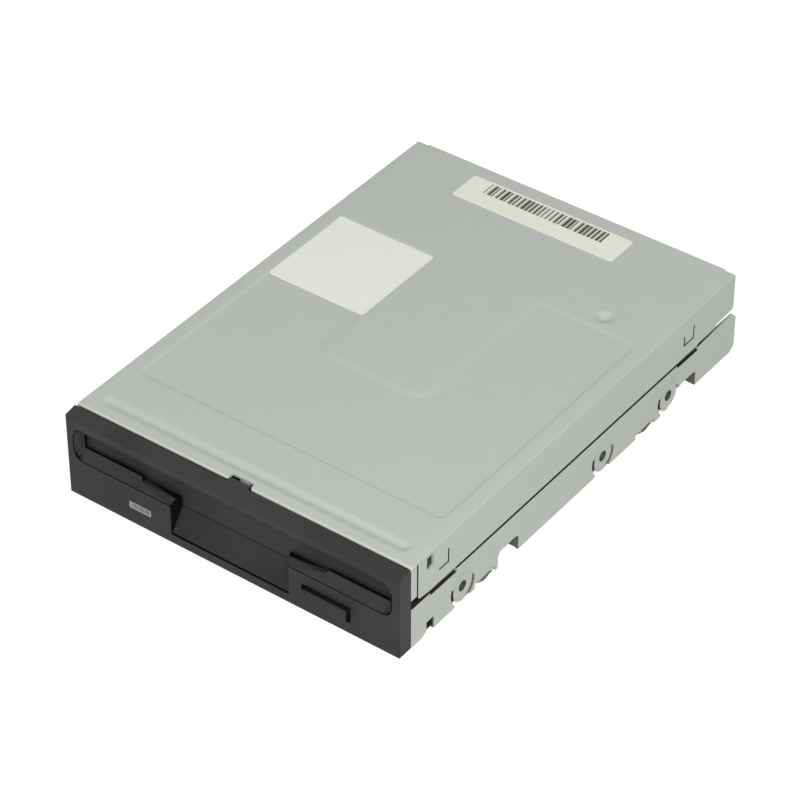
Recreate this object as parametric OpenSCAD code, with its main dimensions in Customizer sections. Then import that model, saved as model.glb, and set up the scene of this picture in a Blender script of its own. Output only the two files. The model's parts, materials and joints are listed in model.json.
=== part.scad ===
// Slim disk drive for 90 mm cartridges: a folded steel frame and pressed cover, a moulded
// bezel with a sprung slot flap, an eject slide that sinks the disk holder on cam slots,
// a spindle motor and a head carriage on a lead screw.
// Front is -Y and +Z is up, in millimetres. Depths are counted from the back of the bezel,
// and seat() then sets every piece over the origin at the middle of the base.

/* [Body] */
// Width over the side walls
overall_w = 101.6; // [101:0.1:106]
// Height from the base to the top of the cover
overall_h = 25.3; // [25.2:0.1:29]
// Depth from the back of the bezel to the rear edge of the cover
body_d = 141; // [139:0.5:150]
// Reach of the frame's ears behind the cover
ear_l = 1.5; // [0.5:0.1:4]
// Thickness of the cover sheet
cover_t = 0.6; // [0.5:0.05:0.8]
// Thickness of the frame sheet
frame_t = 1; // [0.8:0.05:1.1]
// Outer bend radius of the cover
bend_r = 1; // [0.9:0.1:1.6]
// Height of the frame's side walls
wall_h = 12.2; // [11.6:0.1:12.8]
// Seam between the side walls and the cover's skirts
seam = 0.4; // [0.2:0.1:0.8]
// Height of the deck's underside over the base
deck_z = 4.9; // [4.8:0.1:5.1]
// Height of the cut-outs along the bottom of the side walls
foot_cut_h = 4.8; // [3.8:0.1:4.8]

/* [Side and base holes] */
// First side hole behind the bezel
hole_first = 21; // [20:0.5:22]
// Distance from the first side hole to the second
hole_pitch = 60; // [58:0.5:62]
// Distance from the second side hole to the third
hole_step = 30; // [28:0.5:31]
// Height of the side holes over the base
hole_z = 4.6; // [4.3:0.1:5]
// Tapping radius of the screw holes
thread_r = 1.25; // [1.2:0.05:1.4]
// Radius of the pressed boss round a side hole
boss_r = 4; // [3.6:0.1:4.2]
// First base hole behind the bezel
base_hole_y = 30.5; // [28:0.5:33]
// Distance between the base holes along the depth
base_hole_pitch = 70; // [68:0.5:72]
// Distance from the side to the base holes
base_hole_inset = 4.3; // [4:0.1:5]

/* [Pressings] */
// Distance from the side to the middle of the dimple
dimple_inset = 17.2; // [13:0.2:21]
// Setback of the dimple
dimple_y = 105.7; // [105:0.5:120]
// Setback of the front groove
groove_y = 5.2; // [4.5:0.1:6]
// Distance from the side to the end of the front groove
groove_inset = 4.8; // [4:0.1:10]
// Width of the front groove
groove_w = 2.6; // [2:0.1:3.2]
// Depth of the front groove
groove_d = 0.6; // [0.3:0.05:0.8]
// Setback of the sunk panel
panel_front = 18.2; // [15:0.5:22]
// Back edge of the sunk panel between its lobes
panel_mid = 52.7; // [45:0.5:60]
// Back edge of the sunk panel's lobes
panel_rear = 101.3; // [90:0.5:102]
// Distance between the lobes
panel_gap = 32.4; // [28:0.2:36]
// Distance from the side to the sunk panel
panel_inset = 4.6; // [3.8:0.1:5.8]
// Depth of the sunk panel
panel_d = 0.4; // [0.2:0.05:0.5]
// Corner radius of the sunk panel
panel_r = 2.5; // [1.5:0.1:4]
// Radius of the dimple's mouth
dimple_r = 2.6; // [2:0.1:3]
// Depth of the dimple
dimple_d = 0.75; // [0.4:0.05:0.8]

/* [Bezel] */
// Thickness of the bezel
bezel_t = 4.7; // [4.5:0.1:6]
// Height of the bezel
bezel_h = 25.1; // [24.6:0.1:25.3]
// Rounding of the bezel's front edges
bezel_edge_r = 0.5; // [0.3:0.1:0.8]
// Wall of the bezel behind the recess
bezel_wall = 0.8; // [0.6:0.1:1]
// Thickness of the bezel's rim
bezel_rim = 2; // [1.8:0.1:2.2]
// Distance from the side to the recess round the slot
recess_inset = 2.45; // [2.2:0.05:3]
// Bottom of the recess
recess_lo = 12.1; // [11.5:0.1:12.8]
// Top of the recess
recess_hi = 22; // [21.5:0.1:22.6]
// Depth of the recess
recess_d = 2.1; // [1.8:0.1:2.3]
// Corner radius of the recess
recess_r = 2.5; // [1.5:0.1:3.5]
// Room beside the disk in the slot
slot_room = 1.7; // [1.3:0.05:1.9]
// Height of the slot
slot_h = 4.3; // [4.2:0.1:4.5]
// Height of the slot's middle over the base
slot_z = 16.85; // [16.7:0.05:17]
// Width of the lowered middle of the slot's lip
lip_w = 56.4; // [50:0.2:58]
// Drop of the lip's middle
lip_drop = 0.95; // [0.6:0.05:1.2]
// Land between the finger scoop and the button
finger_gap = 4.3; // [3.6:0.1:5]
// Draft of the scoop's side walls
finger_draft = 1.5; // [0.5:0.1:2]
// Front edge of the finger scoop over the base
finger_z = 3; // [2.6:0.1:3.6]
// Top of the scoop's slope over the base
finger_top = 10.9; // [10.4:0.1:10.9]
// Width of the lamp window
led_w = 7; // [6:0.1:8]
// Height of the lamp window
led_h = 2.25; // [2:0.05:2.6]
// Distance from the side to the middle of the lamp window
led_inset = 22.8; // [21:0.1:24.5]
// Middle of the lamp window over the base
led_z = 5.85; // [5.6:0.05:6.1]

/* [Flap] */
// Thickness of the flap
flap_t = 0.8; // [0.7:0.05:0.9]
// Height of the flap's hinge over the base
hinge_z = 20.4; // [20.2:0.1:20.6]
// Radius of the flap's pins
flap_pin_r = 0.6; // [0.5:0.05:0.6]

/* [Eject slide] */
// Travel of the eject slide
eject_travel = 6; // [5:0.1:6]
// Thickness of the slide's sheet
slider_t = 0.8; // [0.7:0.05:0.8]
// Width of the button
button_w = 13.7; // [12:0.1:14.5]
// Height of the button
button_h = 4.05; // [3.6:0.05:4.4]
// Distance from the side to the middle of the button
button_inset = 21.55; // [20.8:0.05:22.8]
// Middle of the button over the base
button_z = 6.1; // [5.9:0.05:6.4]
// Reach of the button in front of the bezel
button_proud = 1.3; // [0.5:0.1:2]
// Gap round the button
button_gap = 0.35; // [0.25:0.05:0.5]

/* [Disk holder] */
// Room beside the disk for the holder, slide and walls
side_room = 5.8; // [5.7:0.05:6.1]
// Depth of the body that the disk leaves free
rear_room = 47; // [46:0.5:48]
// Setback of the holder behind the bezel
holder_front = 9.8; // [9.6:0.1:10.4]
// Thickness of the holder's sheet
holder_t = 0.7; // [0.6:0.05:0.7]
// Way that the holder sinks
drop = 2.2; // [1.8:0.1:2.2]
// Radius of the holder's pins
pin_r = 1; // [0.9:0.05:1.1]
// Reach of the shutter lever
lever_l = 25; // [23:0.5:25.5]
// Swing of the shutter lever
lever_swing = 104; // [90:1:110]

/* [Spindle] */
// Place of the hub, as a share of the disk's length
hub_share = 0.42; // [0.415:0.001:0.425]
// Radius of the spindle shaft
shaft_r = 2; // [1.5:0.1:2.5]
// Radius of the rotor
rotor_r = 22.5; // [21.5:0.5:23]
// Radius of the chuck plate
chuck_r = 12.5; // [11.5:0.5:13]
// Count of the stator's poles
pole_count = 9; // [6:3:12]

/* [Head carriage] */
// Radius of the outermost track, where the heads rest, as a share of the disk's length
track_share = 0.418; // [0.416:0.001:0.42]
// Travel of the carriage
track_travel = 14.8; // [14:0.1:15]
// Radius of the guide rod
rod_r = 1.5; // [1.3:0.05:1.6]
// Radius of the lead screw
screw_r = 1.5; // [1.3:0.05:1.6]
// Radius of the stepper motor
stepper_r = 7.5; // [6.5:0.25:7.75]
// Gap between the stepper motor and the signal header
stepper_gap = 1.2; // [0.8:0.1:3]
// Lift of the upper head arm at rest
arm_lift = 12.5; // [12:0.5:13]

/* [Rear connectors] */
// Pitch of the header pins
pin_pitch = 2.54; // [2.5:0.02:2.54]
// Columns of the signal header
signal_columns = 17; // [13:1:17]
// Pins of the power header
power_ways = 4; // [3:1:4]

/* [Hidden] */
$fn = 48;
e = 0.2;
slot_waist = 0.02;

// Main places
half_w = overall_w / 2;
frame_rear = body_d + ear_l;
disk_w = overall_w - 2 * side_room;
disk_l = body_d - rear_room;
spindle_y = holder_front + hub_share * disk_l;
head_y = spindle_y + track_share * disk_l;
button_x = half_w - button_inset;
led_x = led_inset - half_w;
dimple_x = half_w - dimple_inset;
groove_l = overall_w - 2 * groove_inset;
panel_w = overall_w - 2 * panel_inset;
recess_w = overall_w - 2 * recess_inset;
slot_w = disk_w + 2 * slot_room;
finger_w = 2 * (button_x - button_w / 2 - finger_gap);
carriage_y = [head_y + 5.7, head_y + 24.7];
clamp_l = 3;
clamp_front = carriage_y[0] - track_travel - clamp_l - 1.5;

// Sheet metal
wall_in = half_w - frame_t;
skirt_in = half_w - cover_t;
roof_in = overall_h - cover_t;
skirt_z = wall_h + seam;
deck_top = deck_z + frame_t;
deck_front = 2;
deck_rear = head_y + 28.8;
lip_z = 2.2;
mid_y = (frame_rear - bezel_t - button_proud) / 2;

// Side wall outline: foot, hook notch, cut-outs, dips of the top edge, ear corners
wall_front = 0.2;
foot_l = 4;
foot_rise = 1;
hook_y = 6.2;
hook_l = 2.8;
hook_h = 3.75;
dip_d = 0.9;
ear_cut = [1.7, 1.25];
ear_top_cut = 1.3;
side_holes = [hole_first, hole_first + hole_pitch, hole_first + hole_pitch + hole_step];
front_cut = [hole_first + 14.5, hole_first + 23];
rear_cut = [side_holes[2] + 4.4, side_holes[2] + 12.7];
front_dip = [hole_first - 13.4, hole_first - 2.7];
rear_dip = [side_holes[2] + 3.3, side_holes[2] + 13.3];
boss_sink = 0.25;
boss_in = 1.2;
boss_slit = 0.4;
boss_gap = 0.15;
front_slit = [160, 222];
front_slit_w = 0.9;
rear_slit = [-64, 14];
boss_foot = [215, 303];
boss_foot_r = 6.5;
flange_l = 4.2;
screw_way = 8;
screw_way_half = 2.4;
base_holes = [base_hole_y, base_hole_y + base_hole_pitch];
base_hole_x = half_w - base_hole_inset;
tab_half = 2.6;
tab_relief = [2, 1.4];
tab_relief_h = 1.6;
tab_bend = 1;
lobe_r = 1.2;
tab_in = base_hole_x - 4;
collar_r = 2.3;
collar_h = 1.4;

// Deck pressings: ring round the spindle, beads along the depth, windows
bead_h = 0.5;
bead_r = 1.6;
bead_x = 23.5;
bead_y = [13, head_y - 14];
ring = [10, 16.5];
deck_window = [4.2, 13];
deck_window_r = 1.2;

// Bezel
bezel_front = -bezel_t;
bezel_lo = 0.1;
bezel_back_wall = bezel_front + recess_d + bezel_wall;
bezel_hi = bezel_lo + bezel_h;
bezel_draft = 0.6;
top_bevel = [0.8, 1];
rim_in = half_w - bezel_rim;
scoop_wall = 1.2;
guide_wall = 0.9;
scoop_lip = 1.5;
ear_half_h = 1.4;
lip_slant = 0.8;
ramp_lo = 0.15;
ramp_hi = 0.15;
ramp_end = 0.2;
recess_line = [0.3, 0.6];
tongue_t = 0.5;
tongue_gap = 1.1;
scoop_groove = [0.4, 0.9];
scoop_step = 0.25;
hook_nose = 0.8;
low_clip = 0.9;
pin_spare = 0.2;
arm_t = 0.75;
arm_gap = 0.25;
hook_t = 0.65;
hook_gap = 0.3;
clip_hole = [hook_y - 0.1, hook_y + 2.5];
clip_z = [20.2, 23.9];

// Flap
flap_gap = 0.2;
flap_front = bezel_back_wall + flap_gap;
hinge_y = flap_front + flap_t / 2;
flap_half = slot_w / 2 + 0.5;
flap_lo = slot_z - slot_h / 2 - 0.4;
tongue_half = lip_w / 2 + lip_slant / 2;
tongue_clear = 0.1;
tongue_lo = finger_top + tongue_clear;
pin_clear = 0.05;
flap_pin_l = 0.9;
flap_spring_x = [flap_half - 6, flap_half - 1.4];
flap_spring_r = 0.85;
flap_spring_wire = 0.3;
flap_pocket = 0.55;
flap_spring_pitch = 0.85;
flap_spring_turns = 4;
flap_spring_leg = 0.6;
flap_notch = 1.5;

// Disk holder
side_gap = 0.4;
holder_in = disk_w / 2 + side_gap;
holder_out = holder_in + holder_t;
bay_lo = slot_z - slot_h / 2;
bay_hi = slot_z + slot_h / 2;
holder_top = bay_hi + holder_t;
holder_rear = holder_front + disk_l - 2.5;
lip_in = holder_in - 4;
arm_window_half = 10;
arm_window_y = head_y - 25.3;
vent = [[8.4 - holder_in, holder_front + 21.2], [-17, holder_front + 45.2]];
lever_at = [holder_in - 6.4, holder_rear - 24];
front_bay = 4;
front_bay_r = 3;
vent_r = 2;
lever_rest = 232;
lever_t = 1;
lever_gap = 0.1;
lever_hub_r = 4;
lever_tip_r = 2.2;
lever_pin_r = 1.2;
lever_pin_z = bay_lo + 0.8;
lever_slot_half = 1.6;
lever_bore_r = 1.55;
collar = [2.6, 2.1];
pivot_r = lever_bore_r - pin_clear;
pivot_head = [2.6, 0.5];
lever_z = holder_top + lever_gap;
lever_root = 3;
lever_neck = 1.8;
lever_slot_spare = 4;
lever_coil = [3.3, 0.45];
lever_coil_pitch = 0.9;
lever_coil_turns = 2;
lever_coil_leg = 4;
lever_coil_gap = 0.35;
pivot_top = lever_z + lever_t + collar[1] + 0.3;

// Eject slide
slider_gap = 0.2;
slider_z = deck_top + slider_gap;
slider_top = slider_z + slider_t;
slider_in = holder_out + 0.6;
slider_out = slider_in + slider_t;
strip_in = slider_in - 5.2;
cross_bar = [spindle_y - 32, spindle_y - 26];
slider_rear = holder_rear - 2;
cam_pins = [holder_front + 16.5, holder_rear - 16];
cam_clear = 0.1;
cam_margin = 5;
cam_top = slot_z + pin_r + 1.55;
low_wall = 2.6;
tongue_x = [button_x - 3.75, button_x + 3.75];
button_front = bezel_front - button_proud;
button_rear = 1.8;
socket_l = 2.5;
button_r = 0.8;
upright_in = slider_out + 0.7;
upright_out = upright_in + frame_t;
upright_half = 4.5;
upright_clear = 0.06;
pin_end = upright_out + 0.2;
rivet_x = strip_in + 2.4;
rivet_ys = [spindle_y - 4.8, spindle_y + 16.7];
rivet_r = 1.4;
rivet_head = [2.2, 0.7];
rivet_gap = 0.06;
tab_y = spindle_y - 2.9;
tab_front = 0.5;
tab_t = 1;
tab_inset = 2.3;
tab_h = 4;
spring_r = 1.8;
spring_wire = 0.5;
spring_pitch = 1.1;
spring_turns = 14;
spring_leg = 3.9;
spring_x = strip_in - 4.7;
spring_z = deck_top + 2.6;
spring_rear = tab_y + tab_t + spring_wire / 2 + 0.1;
spring_front = spring_rear - spring_pitch * spring_turns;
post_x = [spring_x - spring_leg, spring_x - spring_r - spring_wire / 2 - 0.5];
post_y = spring_front + spring_wire / 2 + 0.1;

// Spindle motor
board_t = 1;
board_gap = 1.2;
spindle_board_half = [spring_x - 5.8, clamp_front - board_gap - spindle_y];
spindle_board_top = deck_top + board_t;
spindle_screws = [for (s = [-21, 15]) [spindle_board_half.x - 3.5, spindle_y + s]];
board_r = 3;
bearing_r = 5.5;
bearing_flange = [7.5, 0.8];
bearing_top = spindle_board_top + 2.7;
shaft_clear = 0.04;
stator_z = spindle_board_top + 0.9;
stator_t = 1.2;
stator_out = rotor_r - 3.5;
pole_w = 2.4;
pole_root = 0.5;
pole_tip = 1.4;
pole_tip_half = 14;
yoke_r = 9.5;
coil = [yoke_r + 0.7, stator_out - pole_tip - 0.7];
coil_w = 4.4;
coil_wrap = 0.75;
rotor_lo = spindle_board_top + 0.5;
rotor_disc_z = bearing_top + 0.7;
rotor_t = 0.9;
magnet_t = 2;
magnet_lift = 0.2;
chuck_z = rotor_disc_z + rotor_t;
chuck_t = 1.1;
shaft_top = chuck_z + chuck_t + 1.5;
drive_pin_at = 9.6;
drive_pin_r = 1.2;
drive_pin_h = 2.4;
drive_pin_gap = 0.3;

// Head carriage
rod_x = 16;
rod_z = 10.8;
screw_x = -14;
screw_z = 11.5;
run_clear = 0.04;
carriage_z = [8.4, 13.2];
carriage_x = [-10, rod_x + 4];
carriage_window = [[-4, 4], [9, 12]];
arm_z = 11.9;
arm_half = 5;
arm_front = head_y - 4.3;
fork_y = [head_y + 11.4, head_y + 17.4];
fork_half = screw_r + 1.1;
fork_gap = 0.25;
fork_tip = 1;
fork_room = 0.8;
lug_r = 1;
lug_x = [7, 9];
pivot_at = [head_y + 22.2, 17];
lug_half = 2.3;
arm_pin_r = 1;
knuckle_r = 2.2;
knuckle_x = [-6.8, 3.4];
upper_arm_z = [16, 17.2];
upper_arm_half = 6;
head_pad = [3, 3];
lower_head_top = 14.45;
upper_head_low = 14.65;
shoe_t = 0.6;
arm_coil = [3.9, 6.5];
arm_coil_r = 1.6;
arm_coil_wire = 0.4;
arm_coil_pitch = 0.9;
arm_coil_turns = 2;
arm_coil_leg = 1.2;
arm_coil_gap = 0.3;
lug_root = 1.5;
arm_pin_spare = 0.4;
knuckle_back = 4;
flag_t = 0.8;
flag_low = 9;
shoe_inset = 0.5;
flag_x = [24.6, 25.4];
flag_y = [head_y + 18.4, head_y + 19.9];
clamp_half = 3.5;
clamp_top = rod_z + rod_r + 0.5;
clamp_rear = carriage_y[1] + 1;
bracket_front = clamp_front + 0.3;
bracket_rear = deck_rear + 0.4;
bracket_t = 0.8;
plate_t = 1;
bracket_half = 4;
plate_half = 7;
tip_r = 1;
tip_spare = 0.4;
screw_end = bracket_rear + 6;
bracket_screw_ys = [bracket_front + 6, bracket_rear - 5];
front_plate_top = 3;
motor_bore_spare = 1;
motor_boss_r = 2.9;

// Boards and rear connectors
board_z = 2.4;
main_board_t = 1.2;
board_top = board_z + main_board_t;
main_board_half = wall_in - 7.3;
main_board_y = [head_y + 2.4, frame_rear - 5.3];
main_board_r = 1.5;
ledge_in = wall_in - 13.8;
ledge_rear = frame_rear - 7;
stand_r = 2.6;
screw_hole_r = 1.1;
stands = [[wall_in - 11.3, main_board_y[0] + 5.5], [wall_in - 9.8, frame_rear - 11.5]];
screw_head = [2.4, 1.3];
signal_x = ledge_in - 24;
signal_body = [signal_columns * pin_pitch + 1.4, 3, 5.4];
signal_y = frame_rear - 11.5;
pin_rows = [1.4, 1.4 + pin_pitch];
pin_w = 0.64;
pin_rear = frame_rear - 1;
stepper_l = signal_y - bracket_rear - stepper_gap;
power_x = 7 - ledge_in;
power_size = [power_ways * pin_pitch + 2.6, 8, 6.4];
power_y = frame_rear - 12.5;
power_wall = 1;
power_pin_gap = 0.5;
// Middle of each chip across the board, its share of the board's depth, its width and its length
chips = [[5, 0.37, 14, 14], [-22, 0.41, 10, 10], [25, 0.6, 8, 5]];
chip_t = 1.4;
cans = [ledge_in - 10, ledge_in - 4];
can_y = frame_rear - 20.5;
can_r = 2.1;
can_h = 5.4;
cable_x = [-spindle_board_half.x - 3, 3.5 - spindle_board_half.x];
cable_t = 0.15;
cable_lap = 3.5;

// Sensors and lamp
switch_y = [4.1, 9.5];
switch_top = 12.6;
plunger_y = 7;
plunger_r = 0.9;
plunger_clear = 0.07;
plunger_top = bay_lo - 0.3;
plunger_travel = 1.6;
plunger_foot = deck_top + 0.7;
plunger_foot_gap = 0.3;
density_x = 6.9 - holder_in;
disk_x = holder_in - 6.1;
protect_x = holder_in - 9.1;
switch_margin = 1.5;
switch_ends = [0.4, 0.6];
sensor_arm = 1.6;
sensor_gap = 0.6;
sensor_top = 12;
sensor_base = 1.3;
sensor_side = 1.7;
lens_gap = 0.1;
lens_sink = 0.15;
lens_rear = 4.3;
lamp_y = [5.4, 7.1];
lamp_half = [2.2, 1.4];
lamp_dome = 1;
led_board_l = 3.5;
led_board_t = 0.8;
led_board_half = 5;
lamp_bay = 6.5;

// Labels
label_t = 0.1;
white_label_y = [panel_rear - 31.5, panel_rear - 1.3];
label_inset = 0.15;
label_r = 1;
cream_label_at = [[-28.4, body_d - 14.5], [21.5, body_d - 4.1]];

steel = "#b8bcb5";
zinc = "#b0b4ae";
black = "#3c3c3b";
dark = "#4a4b4b";
bright = "#cfd2d4";
copper = "#b87333";
board_green = "#2f6b45";
ferrite = "#3b3a3d";

// Sets a piece over the origin
module seat() translate([0, -mid_y, 0]) children();

// Block between two corners
module block(lo, hi) translate(lo) cube(hi - lo);

// Profile drawn as depth and height, carried across the width
module across(x0, x1) translate([x0, 0, 0]) rotate([90, 0, 90]) linear_extrude(x1 - x0) children();

// Profile drawn as width and height, carried along the depth
module along(y0, y1) translate([0, y1, 0]) rotate([90, 0, 0]) linear_extrude(y1 - y0) children();

// A piece and its mirror image on the other side
module both() {
    children();
    mirror([1, 0, 0]) children();
}

// Rod along the depth
module rod_along(x, z, r, y0, y1) translate([x, y0, z]) rotate([-90, 0, 0]) cylinder(r = r, h = y1 - y0);

// Rod across the width
module rod_across(y, z, r, x0, x1) translate([x0, y, z]) rotate([0, 90, 0]) cylinder(r = r, h = x1 - x0);

// Rectangle with round corners
module round_rect(lo, hi, r) {
    translate(lo + [r, 0]) square(hi - lo - [2 * r, 0]);
    translate(lo + [0, r]) square(hi - lo - [0, 2 * r]);
    for (x = [lo.x + r, hi.x - r], y = [lo.y + r, hi.y - r]) translate([x, y]) circle(r);
}

// Slot with round ends between two points
// The straight part is a little narrower than the round ends, so that they cross and don't only touch
module slot_between(a, b, r) {
    half = r - slot_waist;
    for (p = [a, b]) translate(p) circle(r);
    translate(a) rotate(atan2(b.y - a.y, b.x - a.x)) translate([0, -half]) square([norm(b - a), 2 * half]);
}

// Part of a flat ring, under a half turn wide
module ring_part(r0, r1, a0, a1) intersection() {
    difference() {
        circle(r1);
        circle(r0);
    }
    polygon([[0, 0], 2 * r1 * [cos(a0), sin(a0)], 2 * r1 * [cos((a0 + a1) / 2), sin((a0 + a1) / 2)],
        2 * r1 * [cos(a1), sin(a1)]]);
}

// Arch of the cover: straight sides and rounded upper corners
module arch(half, z0, z1, r) {
    translate([-half, z0]) square([2 * half, z1 - z0 - r]);
    translate([r - half, z0]) square([2 * (half - r), z1 - z0]);
    for (x = [r - half, half - r]) translate([x, z1 - r]) circle(r);
}

// Points of a coil with a straight leg at each end, about the third axis of its own frame
function coil_path(r, pitch, turns, leg, steps = 8) = concat(
    [[r, -leg, 0]],
    [for (i = [0:steps * turns]) let (a = 360 * i / steps) [r * cos(a), r * sin(a), pitch * i / steps]],
    [[r, leg, pitch * turns]]);

function unit(v) = v / norm(v);

// Rings of a tube that follows a coil's path, square to the path
function coil_rings(path, r, sides) = let (last = len(path) - 1) [for (i = [0:last])
    let (t = unit(path[min(i + 1, last)] - path[max(i - 1, 0)]), u = unit(cross(t, [0, 0, 1])),
        v = cross(u, t))
    for (k = [0:sides - 1]) path[i] + r * (cos(360 * k / sides) * u + sin(360 * k / sides) * v)];

// Triangles of a tube with closed ends
function tube_faces(rings, sides) = concat(
    [for (i = [0:rings - 2], k = [0:sides - 1]) let (a = i * sides + k, b = i * sides + (k + 1) % sides)
        [a, b, a + sides]],
    [for (i = [0:rings - 2], k = [0:sides - 1]) let (a = i * sides + k, b = i * sides + (k + 1) % sides)
        [b, b + sides, a + sides]],
    [for (k = [1:sides - 2]) [0, k + 1, k]],
    [for (k = [1:sides - 2]) let (a = (rings - 1) * sides) [a, a + k, a + k + 1]]);

// Wound wire about the third axis
module coil_wire(r, wire, pitch, turns, leg) {
    sides = 6;
    path = coil_path(r, pitch, turns, leg);
    polyhedron(coil_rings(path, wire / 2, sides), tube_faces(len(path), sides));
}

// Least gap between points of a coil that lie at least half a turn apart
function coil_gap(path, wire) = min([for (i = [0:len(path) - 5], j = [i + 4:len(path) - 1])
    norm(path[i] - path[j])]) - wire;
echo(eject_spring_gap = coil_gap(coil_path(spring_r, spring_pitch, spring_turns, spring_leg), spring_wire));

// Reliefs beside a base tab, which leave its bend as a round lobe
module tab_reliefs(y) difference() {
    translate([y - tab_half - tab_relief[0], -e])
        square([2 * tab_half + tab_relief[0] + tab_relief[1], tab_relief_h + e]);
    round_rect([y - tab_half, 0], [y + tab_half, 3 * lobe_r + tab_relief_h], lobe_r);
}

module wall_outline() difference() {
    translate([wall_front, 0]) square([frame_rear - wall_front, wall_h]);
    for (y = base_holes) tab_reliefs(y);
    translate([side_holes[2], -e]) square([rear_cut[0] + 1 - side_holes[2], hole_z + e]);
    polygon([[foot_l, -e], [foot_l, 0], [hook_y, foot_rise], [hook_y + e, foot_rise], [hook_y + e, -e]]);
    translate([hook_y, -e]) square([hook_l, hook_h + e]);
    for (c = [front_cut, rear_cut]) round_rect([c[0], -2], [c[1], foot_cut_h], 1);
    for (d = [front_dip, rear_dip]) translate([d[0], wall_h - dip_d]) square([d[1] - d[0], dip_d + e]);
    polygon([[frame_rear - ear_cut.x, 0], [frame_rear, ear_cut.y], [frame_rear + e, 0], [frame_rear, -e]]);
    polygon([[frame_rear - ear_top_cut, wall_h], [frame_rear - e, wall_h + e], [frame_rear + e, wall_h + e],
        [frame_rear + e, wall_h - ear_top_cut], [frame_rear, wall_h - ear_top_cut]]);
}

module side_wall() difference() {
    union() {
        across(wall_in, half_w) wall_outline();
        for (y = side_holes) rod_across(y, hole_z, boss_r, wall_in - boss_in, half_w - boss_sink);
    }
    for (y = side_holes) {
        rod_across(y, hole_z, boss_r, half_w - boss_sink, half_w + e);
        across(wall_in - boss_in - e, half_w + e) translate([y, hole_z]) {
            ring_part(boss_r + boss_gap, boss_r + boss_gap + front_slit_w, front_slit[0], front_slit[1]);
            ring_part(boss_r + boss_gap, boss_r + boss_gap + boss_slit, rear_slit[0], rear_slit[1]);
            ring_part(boss_r + boss_gap, boss_foot_r, boss_foot[0], boss_foot[1]);
        }
    }
    for (y = base_holes) difference() {
        block([half_w - tab_bend, y - tab_half - e, -e], [half_w + e, y + tab_half + e, tab_bend]);
        rod_along(half_w - tab_bend, tab_bend, tab_bend, y - tab_half - 2 * e, y + tab_half + 2 * e);
    }
}

// Flange turned in at the rear edge of a cut-out
module flange(cut) block([wall_in - flange_l, cut[1], e], [wall_in + e, cut[1] + frame_t, deck_z + e]);

// Tapped bore of a side hole, and the way through the deck that its screw needs
module side_bore(y) {
    rod_across(y, hole_z, thread_r, wall_in - boss_in - e, half_w + e);
    block([wall_in - screw_way, y - screw_way_half, hole_z - screw_way_half],
        [wall_in - boss_in, y + screw_way_half, hole_z + screw_way_half]);
}

module base_tab(y) difference() {
    union() {
        block([tab_in, y - tab_half, 0], [wall_in + e, y + tab_half, frame_t]);
        translate([base_hole_x, y, 0]) cylinder(r = collar_r, h = frame_t + collar_h);
    }
    translate([base_hole_x, y, -e]) cylinder(r = thread_r, h = frame_t + collar_h + 2 * e);
}

module upright(y) across(upright_in, upright_out) difference() {
    round_rect([y - upright_half, deck_z + e], [y + upright_half, cam_top], 1);
    slot_between([y, slot_z], [y, slot_z - drop], pin_r + upright_clear);
}

// Pressings under the deck, which stiffen it
module deck_beads() translate([0, 0, deck_z - bead_h]) linear_extrude(bead_h + e) {
    both() slot_between([bead_x, bead_y[0]], [bead_x, bead_y[1]], bead_r);
    translate([0, spindle_y]) difference() {
        circle(ring[1]);
        circle(ring[0]);
    }
}

// Windows in the deck, beside the slides and behind the bezel
module deck_windows() translate([0, 0, deck_z - bead_h - e]) linear_extrude(frame_t + bead_h + 2 * e) {
    for (y = [head_y - 26.5, head_y - 11]) both() translate([strip_in - 3.2, y])
        round_rect(-deck_window / 2, deck_window / 2, deck_window_r);
    translate([0, deck_front + 8.5]) rotate(90) round_rect(-deck_window / 2, deck_window / 2, deck_window_r);
    translate([0, head_y - 8]) circle(3);
}

module deck() difference() {
    union() {
        block([-wall_in - e, deck_front, deck_z], [wall_in + e, deck_rear, deck_top]);
        deck_beads();
        block([-rim_in, deck_front, lip_z], [rim_in, deck_front + frame_t, deck_z + e]);
        both() block([ledge_in, deck_rear - e, deck_z], [wall_in + e, ledge_rear, deck_top]);
        both() for (p = stands) translate([p.x, p.y, board_top])
            cylinder(r = stand_r, h = deck_z + e - board_top);
        both() block([post_x[0], post_y, deck_z], [post_x[1], post_y + tab_t, spring_z + spring_r + 1]);
    }
    block([led_x - lamp_bay, -e, 0], [led_x + lamp_bay, lamp_y[1], deck_top + e]);
    translate([0, spindle_y, 0]) cylinder(r = bearing_r, h = deck_top + e);
    both() {
        for (p = stands) translate([p.x, p.y, 0]) cylinder(r = screw_hole_r, h = deck_top + e);
        for (y = rivet_ys) translate([rivet_x, y, 0]) cylinder(r = rivet_r, h = deck_top + e);
    }
    deck_windows();
    spindle_board_holes();
    bracket_holes();
}

module main_frame() seat() color(zinc) difference() {
    union() {
        both() {
            side_wall();
            for (y = base_holes) base_tab(y);
            for (c = [front_cut, rear_cut]) flange(c);
            for (y = cam_pins) upright(y);
        }
        deck();
    }
    both() for (y = side_holes) side_bore(y);
}

// Sunk panel: a band with a lobe down each side
module panel_outline(grow) {
    half = panel_w / 2 + grow;
    inner = panel_gap / 2 - grow;
    r = panel_r + grow;
    round_rect([-half, panel_front - grow], [half, panel_mid + grow], r);
    round_rect([-half, panel_front - grow], [-inner, panel_rear + grow], r);
    round_rect([inner, panel_front - grow], [half, panel_rear + grow], r);
}

module groove_outline(grow) {
    half = groove_l / 2 - groove_w / 2;
    slot_between([-half, groove_y], [half, groove_y], groove_w / 2 + grow);
}

// Ball whose cap is the dimple, thicker by the sheet for its underside
dimple_ball = (pow(dimple_r, 2) + pow(dimple_d, 2)) / (2 * dimple_d);
module dimple(grow) translate([dimple_x, dimple_y, overall_h - dimple_d + dimple_ball])
    sphere(dimple_ball + grow);

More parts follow.
